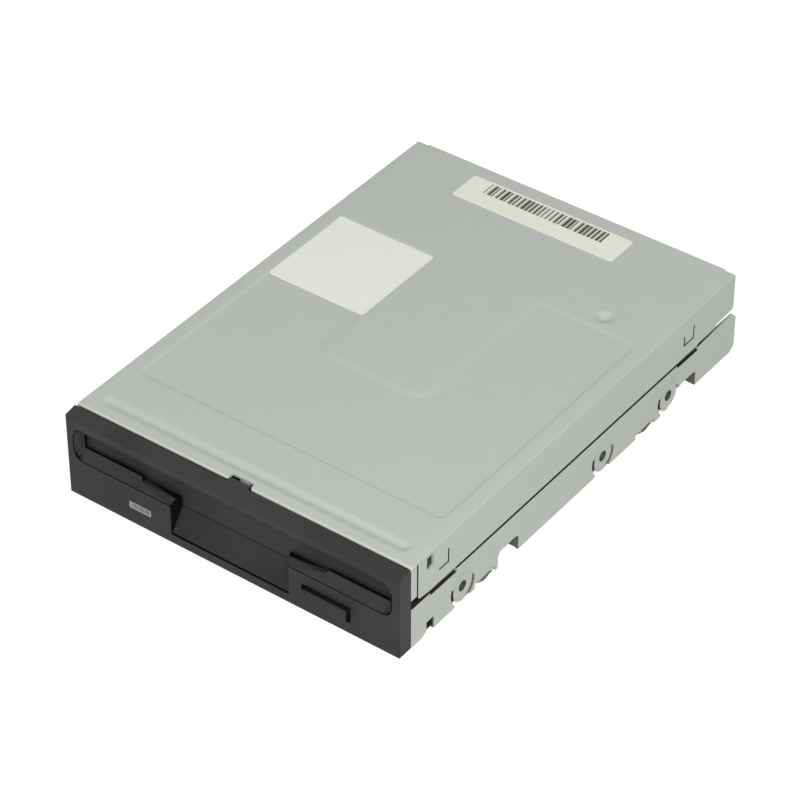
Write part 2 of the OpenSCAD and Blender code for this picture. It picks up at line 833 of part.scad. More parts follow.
// Cuts in a skirt: front strip with its slit, clip window, lanced tongues, corners
strip = [2.3, 15];
slit_w = 0.4;
slit_z = [14.2, 24.6];
lance_w = 0.35;
front_lance = [11, 14.6];
rear_lance = [side_holes[2] + 5.9, side_holes[2] + 10.2];
lance_z = [16.9, 21.2];
lance_step = 1.2;
clip_r = 0.3;
skirt_nose = [[3.4, 0.9], [7.3, 0]];
skirt_heel = [[2, 0], [0.6, 0.8], [0, 2.2]];
module lance(y, z0, z1) translate([y, z0]) square([lance_w, z1 - z0]);
module skirt_cuts() across(skirt_in - bend_r, half_w + e) {
    translate([-e, skirt_z - e]) square([strip[0] + e, strip[1] - skirt_z + e]);
    translate([strip[0], slit_z[0]]) square([slit_w, min(slit_z[1], roof_in) - slit_z[0]]);
    polygon(concat([[strip[0] - e, slit_z[0] + e], [strip[0], slit_z[0] + e]],
        [for (p = skirt_nose) p + [0, skirt_z]],
        [[skirt_nose[1].x, skirt_z - e], [strip[0] - e, skirt_z - e]]));
    round_rect([clip_hole[0], clip_z[0]], [clip_hole[1], clip_z[1]], clip_r);
    lance(front_lance[1], lance_z[0], lance_z[1]);
    translate([front_lance[0], lance_z[0]]) square([front_lance[1] - front_lance[0] + lance_w, lance_w]);
    lance(rear_lance[0], lance_z[0], lance_z[1] - lance_step);
    lance(rear_lance[1], lance_z[0], lance_z[1]);
    translate([rear_lance[0], lance_z[0]]) square([rear_lance[1] - rear_lance[0], lance_w]);
    polygon(concat([[body_d - skirt_heel[0].x, skirt_z - e]],
        [for (p = skirt_heel) [body_d - p.x, skirt_z + p.y]],
        [[body_d + e, skirt_z + skirt_heel[2].y], [body_d + e, skirt_z - e]]));
}

// Notch in the front edge with the small tab bent down behind it
notch_x = [-3.4, 3.2];
notch_d = 1.9;
notch_tab = [-1.3, 1.6];
notch_tab_h = 1.5;
notch_r = 0.8;
module top_cover() seat() color(steel) difference() {
    union() {
        along(0, body_d) difference() {
            arch(half_w, skirt_z, overall_h, bend_r);
            arch(skirt_in, skirt_z - e, roof_in, bend_r - cover_t);
        }
        block([-skirt_in - e, body_d - cover_t, skirt_z], [skirt_in + e, body_d, roof_in + e]);
        translate([0, 0, roof_in - panel_d]) linear_extrude(panel_d + e) panel_outline(cover_t);
        translate([0, 0, roof_in - groove_d]) linear_extrude(groove_d + e) groove_outline(cover_t);
        intersection() {
            dimple(cover_t);
            translate([dimple_x, dimple_y, 0]) cylinder(r = 2 * dimple_r, h = roof_in + e);
        }
        block([notch_tab[0], notch_d, roof_in - notch_tab_h], [notch_tab[1], notch_d + cover_t, roof_in + e]);
    }
    translate([0, 0, overall_h - panel_d]) linear_extrude(panel_d + e) panel_outline(0);
    translate([0, 0, overall_h - groove_d]) linear_extrude(groove_d + e) groove_outline(0);
    dimple(0);
    translate([0, 0, roof_in - e]) linear_extrude(cover_t + 2 * e)
        round_rect([notch_x[0], -2], [notch_x[1], notch_d], notch_r);
    for (i = [0, 1]) translate([notch_x[i], 0, roof_in - e]) mirror([i, 0]) linear_extrude(cover_t + 2 * e)
        difference() {
            translate([-notch_r, -e]) square(notch_r + e);
            translate([-notch_r, notch_r]) circle(notch_r);
        }
    both() skirt_cuts();
}

// Plate of the bezel with its front edges rounded both ways
module bezel_plate() intersection() {
    across(-half_w, half_w) bezel_side();
    translate([0, 0, bezel_lo - e]) linear_extrude(bezel_h + 2 * e)
        rotate(90) mirror([0, 1]) bezel_nose(-half_w, half_w);
}
// Side view: the top falls to the front, and its rear edge is bevelled below the cover's edge
module bezel_side() difference() {
    front_hi = bezel_hi - bezel_draft;
    union() {
        bezel_nose(bezel_lo, front_hi);
        polygon([[bezel_front + bezel_edge_r, front_hi - e], [bezel_front + bezel_edge_r, front_hi],
            [-top_bevel.x, bezel_hi], [0, bezel_hi], [0, front_hi - e]]);
    }
    polygon([[-top_bevel.x, bezel_hi + e], [-top_bevel.x, bezel_hi], [e, bezel_hi - top_bevel.y],
        [e, bezel_hi + e]]);
}
module bezel_nose(lo, hi) {
    r = bezel_edge_r;
    translate([bezel_front + r, lo]) square([bezel_t - r, hi - lo]);
    translate([bezel_front, lo + r]) square([bezel_t, hi - lo - 2 * r]);
    for (v = [lo + r, hi - r]) translate([bezel_front + r, v]) circle(r);
}

// Sleeve behind an opening in the bezel
module guide(x, z, w, h) block([x - w / 2 - guide_wall, bezel_back_wall - e, z - h / 2 - guide_wall],
    [x + w / 2 + guide_wall, 0, z + h / 2 + guide_wall]);
module opening(x, z, w, h) block([x - w / 2, bezel_front - e, z - h / 2], [x + w / 2, e, z + h / 2]);

// Snap arm with its hook, drawn as seen from above
module snap_arm(x, z0, z1, y_hook) translate([0, 0, z0]) linear_extrude(z1 - z0)
    polygon([[x - arm_t, -e], [x, -e], [x, y_hook[0]], [x + hook_t, y_hook[0]],
        [x + hook_t, y_hook[0] + hook_nose], [x, y_hook[1]], [x - arm_t, y_hook[1]]]);

// Recess round the slot: ramps on all sides, round corners, a fine line round the sides and the foot
module recess_outline(grow) round_rect([-recess_w / 2 - grow, recess_lo - grow],
    [recess_w / 2 + grow, recess_hi + grow], recess_r + grow);
module recess() {
    half = recess_w / 2;
    end = slot_w / 2 + ramp_end;
    floor = bezel_front + recess_d;
    intersection() {
        across(-half, half)
            polygon([[bezel_front - e, recess_lo], [bezel_front, recess_lo], [floor, bay_lo - ramp_lo],
                [floor, bay_hi + ramp_hi], [bezel_front, recess_hi], [bezel_front - e, recess_hi]]);
        linear_extrude(overall_h)
            polygon([[-half, bezel_front - e], [half, bezel_front - e], [half, bezel_front], [end, floor],
                [-end, floor], [-half, bezel_front]]);
        along(bezel_front - e, bezel_back_wall) recess_outline(0);
    }
    along(bezel_front - e, bezel_front + recess_line.y) difference() {
        recess_outline(recess_line.x);
        recess_outline(0);
        translate([-half_w, recess_hi - recess_r]) square([overall_w, overall_h]);
    }
}

// Slot with the lowered middle of its lip
module slot_outline() {
    step = lip_slant / 2;
    half = lip_w / 2;
    polygon([[-slot_w / 2, bay_lo], [-half - step, bay_lo], [step - half, bay_lo - lip_drop],
        [half - step, bay_lo - lip_drop], [half + step, bay_lo], [slot_w / 2, bay_lo],
        [slot_w / 2, bay_hi], [-slot_w / 2, bay_hi]]);
}

// Finger scoop: a slope, between side walls that lean in
module scoop() intersection() {
    across(-finger_w / 2, finger_w / 2)
        polygon([[bezel_front - e, finger_z], [bezel_front + scoop_groove.y, finger_z],
            [bezel_front + scoop_groove.y, finger_z + scoop_groove.x],
            [bezel_front + scoop_step, finger_z + scoop_groove.x], [bezel_back_wall, finger_top],
            [0, finger_top], [0, slot_z], [bezel_front - e, slot_z]]);
    linear_extrude(overall_h) {
        half = finger_w / 2;
        deep = half - finger_draft;
        polygon([[-half, bezel_front - e], [half, bezel_front - e], [half, bezel_front],
            [deep, bezel_back_wall], [deep, e], [-deep, e], [-deep, bezel_back_wall], [-half, bezel_front]]);
    }
}

button_hole = [button_w + 2 * button_gap, button_h + 2 * button_gap];
module front_bezel() seat() color(black) difference() {
    union() {
        difference() {
            bezel_plate();
            block([-rim_in, bezel_back_wall, bezel_lo + bezel_rim], [rim_in, e, bezel_hi - bezel_rim]);
        }
        across(-finger_w / 2 - scoop_wall, finger_w / 2 + scoop_wall)
            polygon([[bezel_front + bezel_edge_r, finger_z - scoop_wall],
                [bezel_front + scoop_lip, finger_z - scoop_wall],
                [bezel_back_wall + scoop_wall, finger_top], [bezel_front + bezel_edge_r, finger_top]]);
        guide(button_x, button_z, button_hole.x, button_hole.y);
        guide(led_x, led_z, led_w, led_h);
        both() {
            block([flap_half + flap_gap, bezel_back_wall - e, hinge_z - ear_half_h],
                [rim_in + e, 0, hinge_z + ear_half_h]);
            snap_arm(skirt_in - arm_gap, clip_z[0] + hook_gap, clip_z[1] - hook_gap,
                [clip_hole[0] + hook_gap, clip_hole[1] - hook_gap]);
            snap_arm(wall_in - arm_gap, low_clip, hook_h - hook_gap,
                [hook_y + hook_gap, hook_y + hook_l - hook_gap]);
        }
        block([notch_x[0] + arm_gap, -top_bevel.x, bezel_hi - tongue_t],
            [notch_x[1] - arm_gap, notch_d - tongue_gap, bezel_hi]);
    }
    recess();
    along(bezel_front, 0) slot_outline();
    scoop();
    opening(button_x, button_z, button_hole.x, button_hole.y);
    opening(led_x, led_z, led_w, led_h);
    both() rod_across(hinge_y, hinge_z, flap_pin_r + pin_clear, flap_half,
        flap_half + flap_gap + flap_pin_l + pin_spare);
    block([flap_spring_x[0], bezel_back_wall - flap_pocket, hinge_z - flap_notch - flap_gap],
        [flap_spring_x[1], 0, hinge_z + flap_notch + flap_gap]);
}

module slot_flap() seat() color(dark) {
    difference() {
        union() {
            block([-flap_half, flap_front, flap_lo], [flap_half, flap_front + flap_t, hinge_z]);
            block([-tongue_half, flap_front, tongue_lo], [tongue_half, flap_front + flap_t, flap_lo + e]);
            rod_across(hinge_y, hinge_z, flap_t / 2, -flap_half, flap_half);
        }
        block([flap_spring_x[0], flap_front - e, hinge_z - flap_notch],
            [flap_spring_x[1], flap_front + flap_t + e, hinge_z + flap_t]);
    }
    rod_across(hinge_y, hinge_z, flap_t / 2, flap_spring_x[0] - e, flap_spring_x[1] + e);
    both() rod_across(hinge_y, hinge_z, flap_pin_r, flap_half - e, flap_half + flap_gap + flap_pin_l);
}

module flap_spring() seat() color(bright) translate([flap_spring_x[0] + flap_spring_leg, hinge_y, hinge_z])
    rotate([0, 90, 0])
        coil_wire(flap_spring_r, flap_spring_wire, flap_spring_pitch, flap_spring_turns, flap_spring_leg);

module eject_button() seat() color(black) difference() {
    along(button_front, button_rear)
        round_rect([button_x - button_w / 2, button_z - button_h / 2],
            [button_x + button_w / 2, button_z + button_h / 2], button_r);
    block([tongue_x[0], button_rear - socket_l, slider_z], [tongue_x[1], button_rear + e, slider_top]);
}

module cam_plate(y) {
    round_rect([y - cam_margin, slider_z], [y + eject_travel + cam_margin, cam_top], 1);
}

module eject_slider() seat() color(zinc) {
    block([-slider_out, cross_bar[0], slider_z], [slider_out, cross_bar[1], slider_top]);
    block([tongue_x[0], button_rear - socket_l, slider_z], [tongue_x[1], cross_bar[0] + e, slider_top]);
    both() {
        difference() {
            block([strip_in, cross_bar[0], slider_z], [slider_out, slider_rear, slider_top]);
            translate([0, 0, slider_z - e]) linear_extrude(slider_t + 2 * e)
                for (y = rivet_ys)
                    slot_between([rivet_x, y], [rivet_x, y + eject_travel], rivet_r + rivet_gap);
        }
        across(slider_in, slider_out) difference() {
            union() {
                translate([cross_bar[0], slider_z]) square([slider_rear - cross_bar[0], low_wall]);
                for (y = cam_pins) cam_plate(y);
            }
            for (y = cam_pins)
                slot_between([y, slot_z], [y + eject_travel, slot_z - drop], pin_r + cam_clear);
        }
        block([strip_in - tab_inset, tab_y - tab_front, slider_z], [strip_in + e, tab_y + tab_t, slider_top]);
        block([strip_in - tab_inset, tab_y, slider_z],
            [strip_in - tab_inset + slider_t, tab_y + tab_t, slider_top + tab_h]);
    }
}

module slider_rivets() seat() color(bright) both() for (y = rivet_ys) translate([rivet_x, y, 0]) {
    translate([0, 0, deck_z]) cylinder(r = rivet_r, h = slider_top - deck_z + slider_gap);
    translate([0, 0, slider_top + slider_gap]) cylinder(r = rivet_head[0], h = rivet_head[1]);
}

module eject_springs() seat() color(bright) both() translate([spring_x, spring_front, spring_z])
    rotate([-90, 0, 0]) rotate(-90) coil_wire(spring_r, spring_wire, spring_pitch, spring_turns, spring_leg);

module disk_holder() seat() color(steel) difference() {
    along(holder_front, holder_rear) difference() {
        translate([-holder_out, bay_lo - holder_t]) square([2 * holder_out, holder_top - bay_lo + holder_t]);
        translate([-holder_in, bay_lo]) square([2 * holder_in, bay_hi - bay_lo]);
        translate([-lip_in, bay_lo - holder_t - e]) square([2 * lip_in, holder_t + 2 * e]);
    }
    translate([0, 0, bay_hi - e]) linear_extrude(holder_t + 2 * e) {
        translate([-arm_window_half, arm_window_y]) square([2 * arm_window_half, holder_rear]);
        round_rect(vent[0], vent[1], vent_r);
        round_rect([-lip_w / 2, holder_front - front_bay], [lip_w / 2, holder_front + front_bay],
            front_bay_r);
        translate(lever_at) ring_part(lever_l - lever_slot_half, lever_l + lever_slot_half,
            lever_rest - lever_swing - lever_slot_spare, lever_rest + lever_slot_spare);
    }
}

module holder_pins() seat() color(bright) both() for (y = cam_pins)
    rod_across(y, slot_z, pin_r, holder_out, pin_end);

module shutter_lever() seat() color("#d8d8d0") translate([lever_at.x, lever_at.y, 0]) rotate(lever_rest) {
    difference() {
        union() {
            translate([0, 0, lever_z]) linear_extrude(lever_t) {
                circle(lever_hub_r);
                polygon([[0, lever_root], [lever_l, lever_neck], [lever_l, -lever_neck], [0, -lever_root]]);
                translate([lever_l, 0]) circle(lever_tip_r);
            }
            translate([0, 0, lever_z]) cylinder(r = collar[0], h = lever_t + collar[1]);
        }
        translate([0, 0, lever_z - e]) cylinder(r = lever_bore_r, h = lever_t + collar[1] + 2 * e);
    }
    translate([lever_l, 0, lever_pin_z]) cylinder(r = lever_pin_r, h = lever_z - lever_pin_z + e);
}

module lever_pivot() seat() color(bright) translate([lever_at.x, lever_at.y, 0]) {
    translate([0, 0, holder_top]) cylinder(r = pivot_r, h = pivot_top - holder_top);
    translate([0, 0, pivot_top]) cylinder(r = pivot_head[0], h = pivot_head[1]);
}

module lever_spring() seat() color(bright)
    translate([lever_at.x, lever_at.y, lever_z + lever_t + lever_coil_gap])
    coil_wire(lever_coil[0], lever_coil[1], lever_coil_pitch, lever_coil_turns, lever_coil_leg);

module spindle_board_holes() both() for (p = spindle_screws) translate([p.x, p.y, deck_z - e])
    cylinder(r = screw_hole_r, h = frame_t + board_t + 2 * e);

module spindle_board() seat() color(board_green) difference() {
    translate([0, 0, deck_top]) linear_extrude(board_t)
        round_rect([-spindle_board_half.x, spindle_y - spindle_board_half.y],
            [spindle_board_half.x, spindle_y + spindle_board_half.y], board_r);
    translate([0, spindle_y, deck_top - e]) cylinder(r = bearing_r, h = board_t + 2 * e);
    spindle_board_holes();
}

module spindle_board_screws() seat() color(bright) both() for (p = spindle_screws) translate([p.x, p.y, 0]) {
    translate([0, 0, deck_z]) cylinder(r = screw_hole_r, h = spindle_board_top - deck_z);
    translate([0, 0, spindle_board_top]) cylinder(r = screw_head[0], h = screw_head[1]);
}

module spindle_bearing() seat() color("#c8a25a") translate([0, spindle_y, 0]) difference() {
    union() {
        translate([0, 0, deck_z - bearing_flange[1]]) cylinder(r = bearing_flange[0], h = bearing_flange[1]);
        translate([0, 0, deck_z]) cylinder(r = bearing_r, h = bearing_top - deck_z);
    }
    cylinder(r = shaft_r + shaft_clear, h = bearing_top + e);
}

module poles(w, r0, r1) for (i = [0:pole_count - 1]) rotate(360 * i / pole_count)
    translate([r0, -w / 2]) square([r1 - r0, w]);

module stator_core() seat() color(ferrite) translate([0, spindle_y, stator_z]) linear_extrude(stator_t) {
    difference() {
        circle(yoke_r);
        circle(bearing_r);
    }
    poles(pole_w, yoke_r - pole_root, stator_out - pole_tip / 2);
    for (i = [0:pole_count - 1]) rotate(360 * i / pole_count)
        ring_part(stator_out - pole_tip, stator_out, -pole_tip_half, pole_tip_half);
}

module stator_coils() seat() color(copper) translate([0, spindle_y, 0]) difference() {
    translate([0, 0, stator_z - coil_wrap]) linear_extrude(stator_t + 2 * coil_wrap)
        poles(coil_w, coil[0], coil[1]);
    translate([0, 0, stator_z]) linear_extrude(stator_t) poles(pole_w, yoke_r - pole_root, stator_out);
}

module spindle_shaft() seat() color(bright) translate([0, spindle_y, deck_z - bearing_flange[1]])
    cylinder(r = shaft_r, h = shaft_top - deck_z + bearing_flange[1]);

module rotor_cup() seat() color(steel) translate([0, spindle_y, 0]) rotate_extrude() {
    translate([shaft_r, rotor_disc_z]) square([rotor_r - shaft_r, rotor_t]);
    translate([rotor_r - rotor_t, rotor_lo]) square([rotor_t, rotor_disc_z + rotor_t - rotor_lo]);
}

module rotor_magnet() seat() color(ferrite) translate([0, spindle_y, 0]) rotate_extrude()
    translate([rotor_r - rotor_t - magnet_t, rotor_lo + magnet_lift])
        square([magnet_t, rotor_disc_z - rotor_lo - magnet_lift]);

module chuck_plate() seat() color(bright) translate([0, spindle_y, chuck_z]) difference() {
    cylinder(r = chuck_r, h = chuck_t);
    translate([0, 0, -e]) cylinder(r = shaft_r, h = chuck_t + 2 * e);
    translate([drive_pin_at, 0, -e]) cylinder(r = drive_pin_r + drive_pin_gap, h = chuck_t + 2 * e);
}

module drive_pin() seat() color(bright) translate([drive_pin_at, spindle_y, chuck_z])
    cylinder(r = drive_pin_r, h = drive_pin_h);

module guide_rod() seat() color(bright) rod_along(rod_x, rod_z, rod_r, clamp_front, clamp_rear + clamp_l);

module rod_clamps() seat() color(black) difference() {
    for (y = [clamp_front, clamp_rear])
        block([rod_x - clamp_half, y, deck_top], [rod_x + clamp_half, y + clamp_l, clamp_top]);
    rod_along(rod_x, rod_z, rod_r, clamp_front - e, clamp_rear + clamp_l + e);
}

module lead_screw() seat() color(bright) {
    rod_along(screw_x, screw_z, tip_r, bracket_front - tip_spare, bracket_front + plate_t + 2 * e);
    rod_along(screw_x, screw_z, screw_r, bracket_front + plate_t + e, screw_end);
}

module bracket_holes() for (y = bracket_screw_ys)
    translate([screw_x, y, deck_z - e]) cylinder(r = screw_hole_r, h = frame_t + bracket_t + 2 * e);

module stepper_bracket() seat() color(zinc) difference() {
    union() {
        block([screw_x - bracket_half, bracket_front, deck_top],
            [screw_x + bracket_half, bracket_rear, deck_top + bracket_t]);
        block([screw_x - bracket_half, bracket_front, deck_top],
            [screw_x + bracket_half, bracket_front + plate_t, screw_z + front_plate_top]);
        block([screw_x - plate_half, bracket_rear - plate_t, deck_top],
            [screw_x + plate_half, bracket_rear, screw_z + stepper_r]);
    }
    rod_along(screw_x, screw_z, tip_r + pin_clear, bracket_front - e, bracket_front + plate_t + e);
    rod_along(screw_x, screw_z, motor_boss_r, bracket_rear - plate_t - e, bracket_rear + e);
    bracket_holes();
}

module bracket_screws() seat() color(bright) for (y = bracket_screw_ys) translate([screw_x, y, 0]) {
    translate([0, 0, deck_z]) cylinder(r = screw_hole_r, h = frame_t + bracket_t);
    translate([0, 0, deck_top + bracket_t]) cylinder(r = screw_head[0], h = screw_head[1]);
}

module stepper_motor() seat() color(zinc) difference() {
    union() {
        rod_along(screw_x, screw_z, stepper_r, bracket_rear, bracket_rear + stepper_l);
        rod_along(screw_x, screw_z, motor_boss_r, bracket_rear - plate_t, bracket_rear + e);
    }
    rod_along(screw_x, screw_z, screw_r + pin_clear, bracket_rear - plate_t - e,
        screw_end + motor_bore_spare);
}

module head_carriage() seat() color("#2b2c2e") difference() {
    union() {
        block([carriage_x[0], carriage_y[0], carriage_z[0]], [carriage_x[1], carriage_y[1], carriage_z[1]]);
        block([-arm_half, arm_front, arm_z], [arm_half, carriage_y[0] + e, carriage_z[1]]);
        block([screw_x - fork_half - fork_tip, fork_y[0], screw_z - fork_half],
            [carriage_x[0] + e, fork_y[1], screw_z + fork_half]);
        both() across(lug_x[0], lug_x[1])
            round_rect([pivot_at[0] - lug_half, carriage_z[1] - lug_root],
                [pivot_at[0] + lug_half, pivot_at[1] + lug_half], lug_r);
        block([carriage_x[1] - e, flag_y[0], carriage_z[1] - flag_t], [flag_x[1], flag_y[1], carriage_z[1]]);
        block([flag_x[0], flag_y[0], flag_low], [flag_x[1], flag_y[1], carriage_z[1]]);
    }
    block([carriage_window[0][0], carriage_y[0] + carriage_window[0][1], carriage_z[0] - e],
        [carriage_window[1][0], carriage_y[0] + carriage_window[1][1], carriage_z[1] + e]);
    block([screw_x - fork_half - 2 * fork_tip, fork_y[0] - e, screw_z - screw_r - fork_gap],
        [screw_x + screw_r + fork_room, fork_y[1] + e, screw_z + screw_r + fork_gap]);
    rod_along(rod_x, rod_z, rod_r + run_clear, carriage_y[0] - e, carriage_y[1] + e);
    rod_across(pivot_at[0], pivot_at[1], arm_pin_r, -lug_x[1] - e, lug_x[1] + e);
}

module lower_head() seat() color("#8d8f92") {
    block([-head_pad.x, head_y - head_pad.y, carriage_z[1]],
        [head_pad.x, head_y + head_pad.y, lower_head_top - shoe_t]);
    block([-head_pad.x / 2, head_y - head_pad.y + shoe_inset, carriage_z[1]],
        [head_pad.x / 2, head_y + head_pad.y - shoe_inset, lower_head_top]);
}

// Turns a piece that is drawn with the arm down to the lifted rest
module lifted() translate([0, pivot_at[0], pivot_at[1]]) rotate([-arm_lift, 0, 0])
    translate([0, -pivot_at[0], -pivot_at[1]]) children();

module head_arm() seat() lifted() color(dark) difference() {
    union() {
        block([-upper_arm_half, arm_front, upper_arm_z[0]],
            [upper_arm_half, pivot_at[0] - knuckle_back, upper_arm_z[1]]);
        block([-upper_arm_half, pivot_at[0] - knuckle_back - e, upper_arm_z[0]],
            [knuckle_x[1], pivot_at[0], upper_arm_z[1]]);
        rod_across(pivot_at[0], pivot_at[1], knuckle_r, knuckle_x[0], knuckle_x[1]);
    }
    rod_across(pivot_at[0], pivot_at[1], arm_pin_r + pin_clear, knuckle_x[0] - e, knuckle_x[1] + e);
}

module arm_pivot() seat() color(bright)
    rod_across(pivot_at[0], pivot_at[1], arm_pin_r, -lug_x[1] - arm_pin_spare, lug_x[1] + arm_pin_spare);

module upper_head() seat() lifted() color("#8d8f92") {
    block([-head_pad.x, head_y - head_pad.y, upper_head_low + shoe_t],
        [head_pad.x, head_y + head_pad.y, upper_arm_z[0]]);
    block([-head_pad.x / 2, head_y - head_pad.y + shoe_inset, upper_head_low],
        [head_pad.x / 2, head_y + head_pad.y - shoe_inset, upper_arm_z[0]]);
}

module arm_spring() seat() color(bright) translate([arm_coil[0] + arm_coil_gap, pivot_at[0], pivot_at[1]])
    rotate([0, 90, 0]) coil_wire(arm_coil_r, arm_coil_wire, arm_coil_pitch, arm_coil_turns, arm_coil_leg);

module board_holes() both() for (p = stands) translate([p.x, p.y, board_z - e])
    cylinder(r = screw_hole_r, h = main_board_t + 2 * e);

module main_board() seat() color(board_green) difference() {
    translate([0, 0, board_z]) linear_extrude(main_board_t)
        round_rect([-main_board_half, main_board_y[0]], [main_board_half, main_board_y[1]], main_board_r);
    board_holes();
}

module board_screws() seat() color(bright) both() for (p = stands) translate([p.x, p.y, 0]) {
    translate([0, 0, board_z - screw_head[1]]) cylinder(r = screw_head[0], h = screw_head[1]);
    translate([0, 0, board_z]) cylinder(r = screw_hole_r, h = deck_top - board_z);
}

module signal_header() seat() color(black)
    block([signal_x - signal_body.x / 2, signal_y, board_top],
        [signal_x + signal_body.x / 2, signal_y + signal_body.y, board_top + signal_body.z]);

module signal_pins() seat() color("#c9a94f") for (i = [0:signal_columns - 1], z = pin_rows)
    translate([signal_x + (i - (signal_columns - 1) / 2) * pin_pitch, 0, board_top + z])
        block([-pin_w / 2, signal_y + signal_body.y, -pin_w / 2], [pin_w / 2, pin_rear, pin_w / 2]);

module power_header() seat() color("#dedbd0") difference() {
    block([power_x - power_size.x / 2, power_y, board_top],
        [power_x + power_size.x / 2, power_y + power_size.y, board_top + power_size.z]);
    block([power_x - power_size.x / 2 + power_wall, power_y + power_wall, board_top + power_wall],
        [power_x + power_size.x / 2 - power_wall, power_y + power_size.y + e, board_top + power_size.z + e]);
}

module power_pins() seat() color("#c9a94f") for (i = [0:power_ways - 1])
    translate([power_x + (i - (power_ways - 1) / 2) * pin_pitch, 0, board_top + power_size.z / 2])
        block([-pin_w / 2, power_y + power_wall, -pin_w / 2],
            [pin_w / 2, power_y + power_size.y - power_pin_gap, pin_w / 2]);

module board_chips() seat() color("#252527") for (c = chips) {
    y = main_board_y[0] + c[1] * (main_board_y[1] - main_board_y[0]);
    block([c[0] - c[2] / 2, y - c[3] / 2, board_z - chip_t], [c[0] + c[2] / 2, y + c[3] / 2, board_z]);
}

module board_capacitors() seat() color(bright) for (x = cans) translate([x, can_y, board_top])
    cylinder(r = can_r, h = can_h);

module spindle_cable() seat() color("#d8b24a") across(cable_x[0], cable_x[1]) {
    rear = spindle_y + spindle_board_half.y;
    translate([rear - cable_lap, spindle_board_top]) square([cable_lap + cable_t, cable_t]);
    translate([rear, deck_top]) square([cable_t, board_t + cable_t]);
    translate([rear, deck_top]) square([deck_rear - rear + cable_t, cable_t]);
    translate([deck_rear, board_top]) square([cable_t, deck_top + cable_t - board_top]);
    translate([deck_rear, board_top]) square([cable_lap, cable_t]);
}

module plunger_bore(x) translate([x, plunger_y, plunger_foot])
    cylinder(r = plunger_r + plunger_clear, h = switch_top);
module switch_blocks() seat() color(black) difference() {
    union() {
        block([density_x - plunger_r - switch_margin, switch_y[0], deck_top],
            [density_x + plunger_r + switch_margin, switch_y[1], switch_top]);
        block([protect_x - plunger_r - switch_ends[0], switch_y[0], deck_top],
            [disk_x + plunger_r + switch_ends[1], switch_y[1], switch_top]);
    }
    for (x = [density_x, protect_x, disk_x]) plunger_bore(x);
}

module plunger(x) seat() color("#e4e2da") {
    foot = plunger_foot + plunger_travel + plunger_foot_gap;
    translate([x, plunger_y, foot]) cylinder(r = plunger_r, h = plunger_top - foot);
}
module disk_plunger() plunger(disk_x);
module protect_plunger() plunger(protect_x);
module density_plunger() plunger(density_x);

module track_sensor() seat() color(black) {
    x0 = flag_x[0] - sensor_gap;
    x1 = flag_x[1] + sensor_gap;
    y = [flag_y[0] - sensor_side, flag_y[1] + sensor_side];
    block([x0 - sensor_arm, y[0], deck_top], [x1 + sensor_arm, y[1], deck_top + sensor_base]);
    block([x0 - sensor_arm, y[0], deck_top], [x0, y[1], sensor_top]);
    block([x1, y[0], deck_top], [x1 + sensor_arm, y[1], sensor_top]);
}

module led_lens() seat() color("#8a8f8a") {
    block([led_x - led_w / 2 + lens_gap, bezel_front + lens_sink, led_z - led_h / 2 + lens_gap],
        [led_x + led_w / 2 - lens_gap, lens_rear, led_z + led_h / 2 - lens_gap]);
    block([led_x - led_w / 2 - guide_wall, 0, led_z - led_h / 2 - guide_wall],
        [led_x + led_w / 2 + guide_wall, guide_wall, led_z + led_h / 2 + guide_wall]);
}

module led_lamp() seat() color("#9fd07a") {
    block([led_x - lamp_half.x, lamp_y[0], led_z - lamp_half.y],
        [led_x + lamp_half.x, lamp_y[1], led_z + lamp_half.y]);
    translate([led_x, lamp_y[0], led_z]) sphere(lamp_dome);
}

module led_board() seat() color(board_green)
    block([led_x - led_board_half, lamp_y[1], deck_top],
        [led_x + led_board_half, lamp_y[1] + led_board_l, deck_top + led_board_t]);

module white_label() seat() color("#e1e2dc")
    translate([0, 0, overall_h - panel_d]) linear_extrude(label_t)
        round_rect([-panel_w / 2 + label_inset, white_label_y[0]],
            [-panel_gap / 2 - label_inset, white_label_y[1]], label_r);

module cream_label() seat() color("#dedece")
    block([cream_label_at[0].x, cream_label_at[0].y, overall_h],
        [cream_label_at[1].x, cream_label_at[1].y, overall_h + label_t]);

main_frame();
top_cover();
front_bezel();
slot_flap();
flap_spring();
eject_button();
eject_slider();
slider_rivets();
eject_springs();
disk_holder();
holder_pins();
shutter_lever();
lever_pivot();
lever_spring();
spindle_board();
stator_core();
stator_coils();
spindle_bearing();
spindle_shaft();
rotor_cup();
rotor_magnet();
chuck_plate();
drive_pin();
guide_rod();
rod_clamps();
lead_screw();
stepper_motor();
stepper_bracket();
head_carriage();
lower_head();
head_arm();
arm_pivot();
upper_head();
arm_spring();
main_board();
signal_header();
signal_pins();
power_header();
power_pins();
board_chips();
board_capacitors();
spindle_cable();
switch_blocks();
disk_plunger();
protect_plunger();
density_plunger();
track_sensor();
led_lens();
led_lamp();
led_board();
white_label();
cream_label();
board_screws();
spindle_board_screws();
bracket_screws();
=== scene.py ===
import json
from math import cos, pi, radians, sin, tau

import bmesh
import bpy
import numpy as np
from mathutils import Matrix, Vector

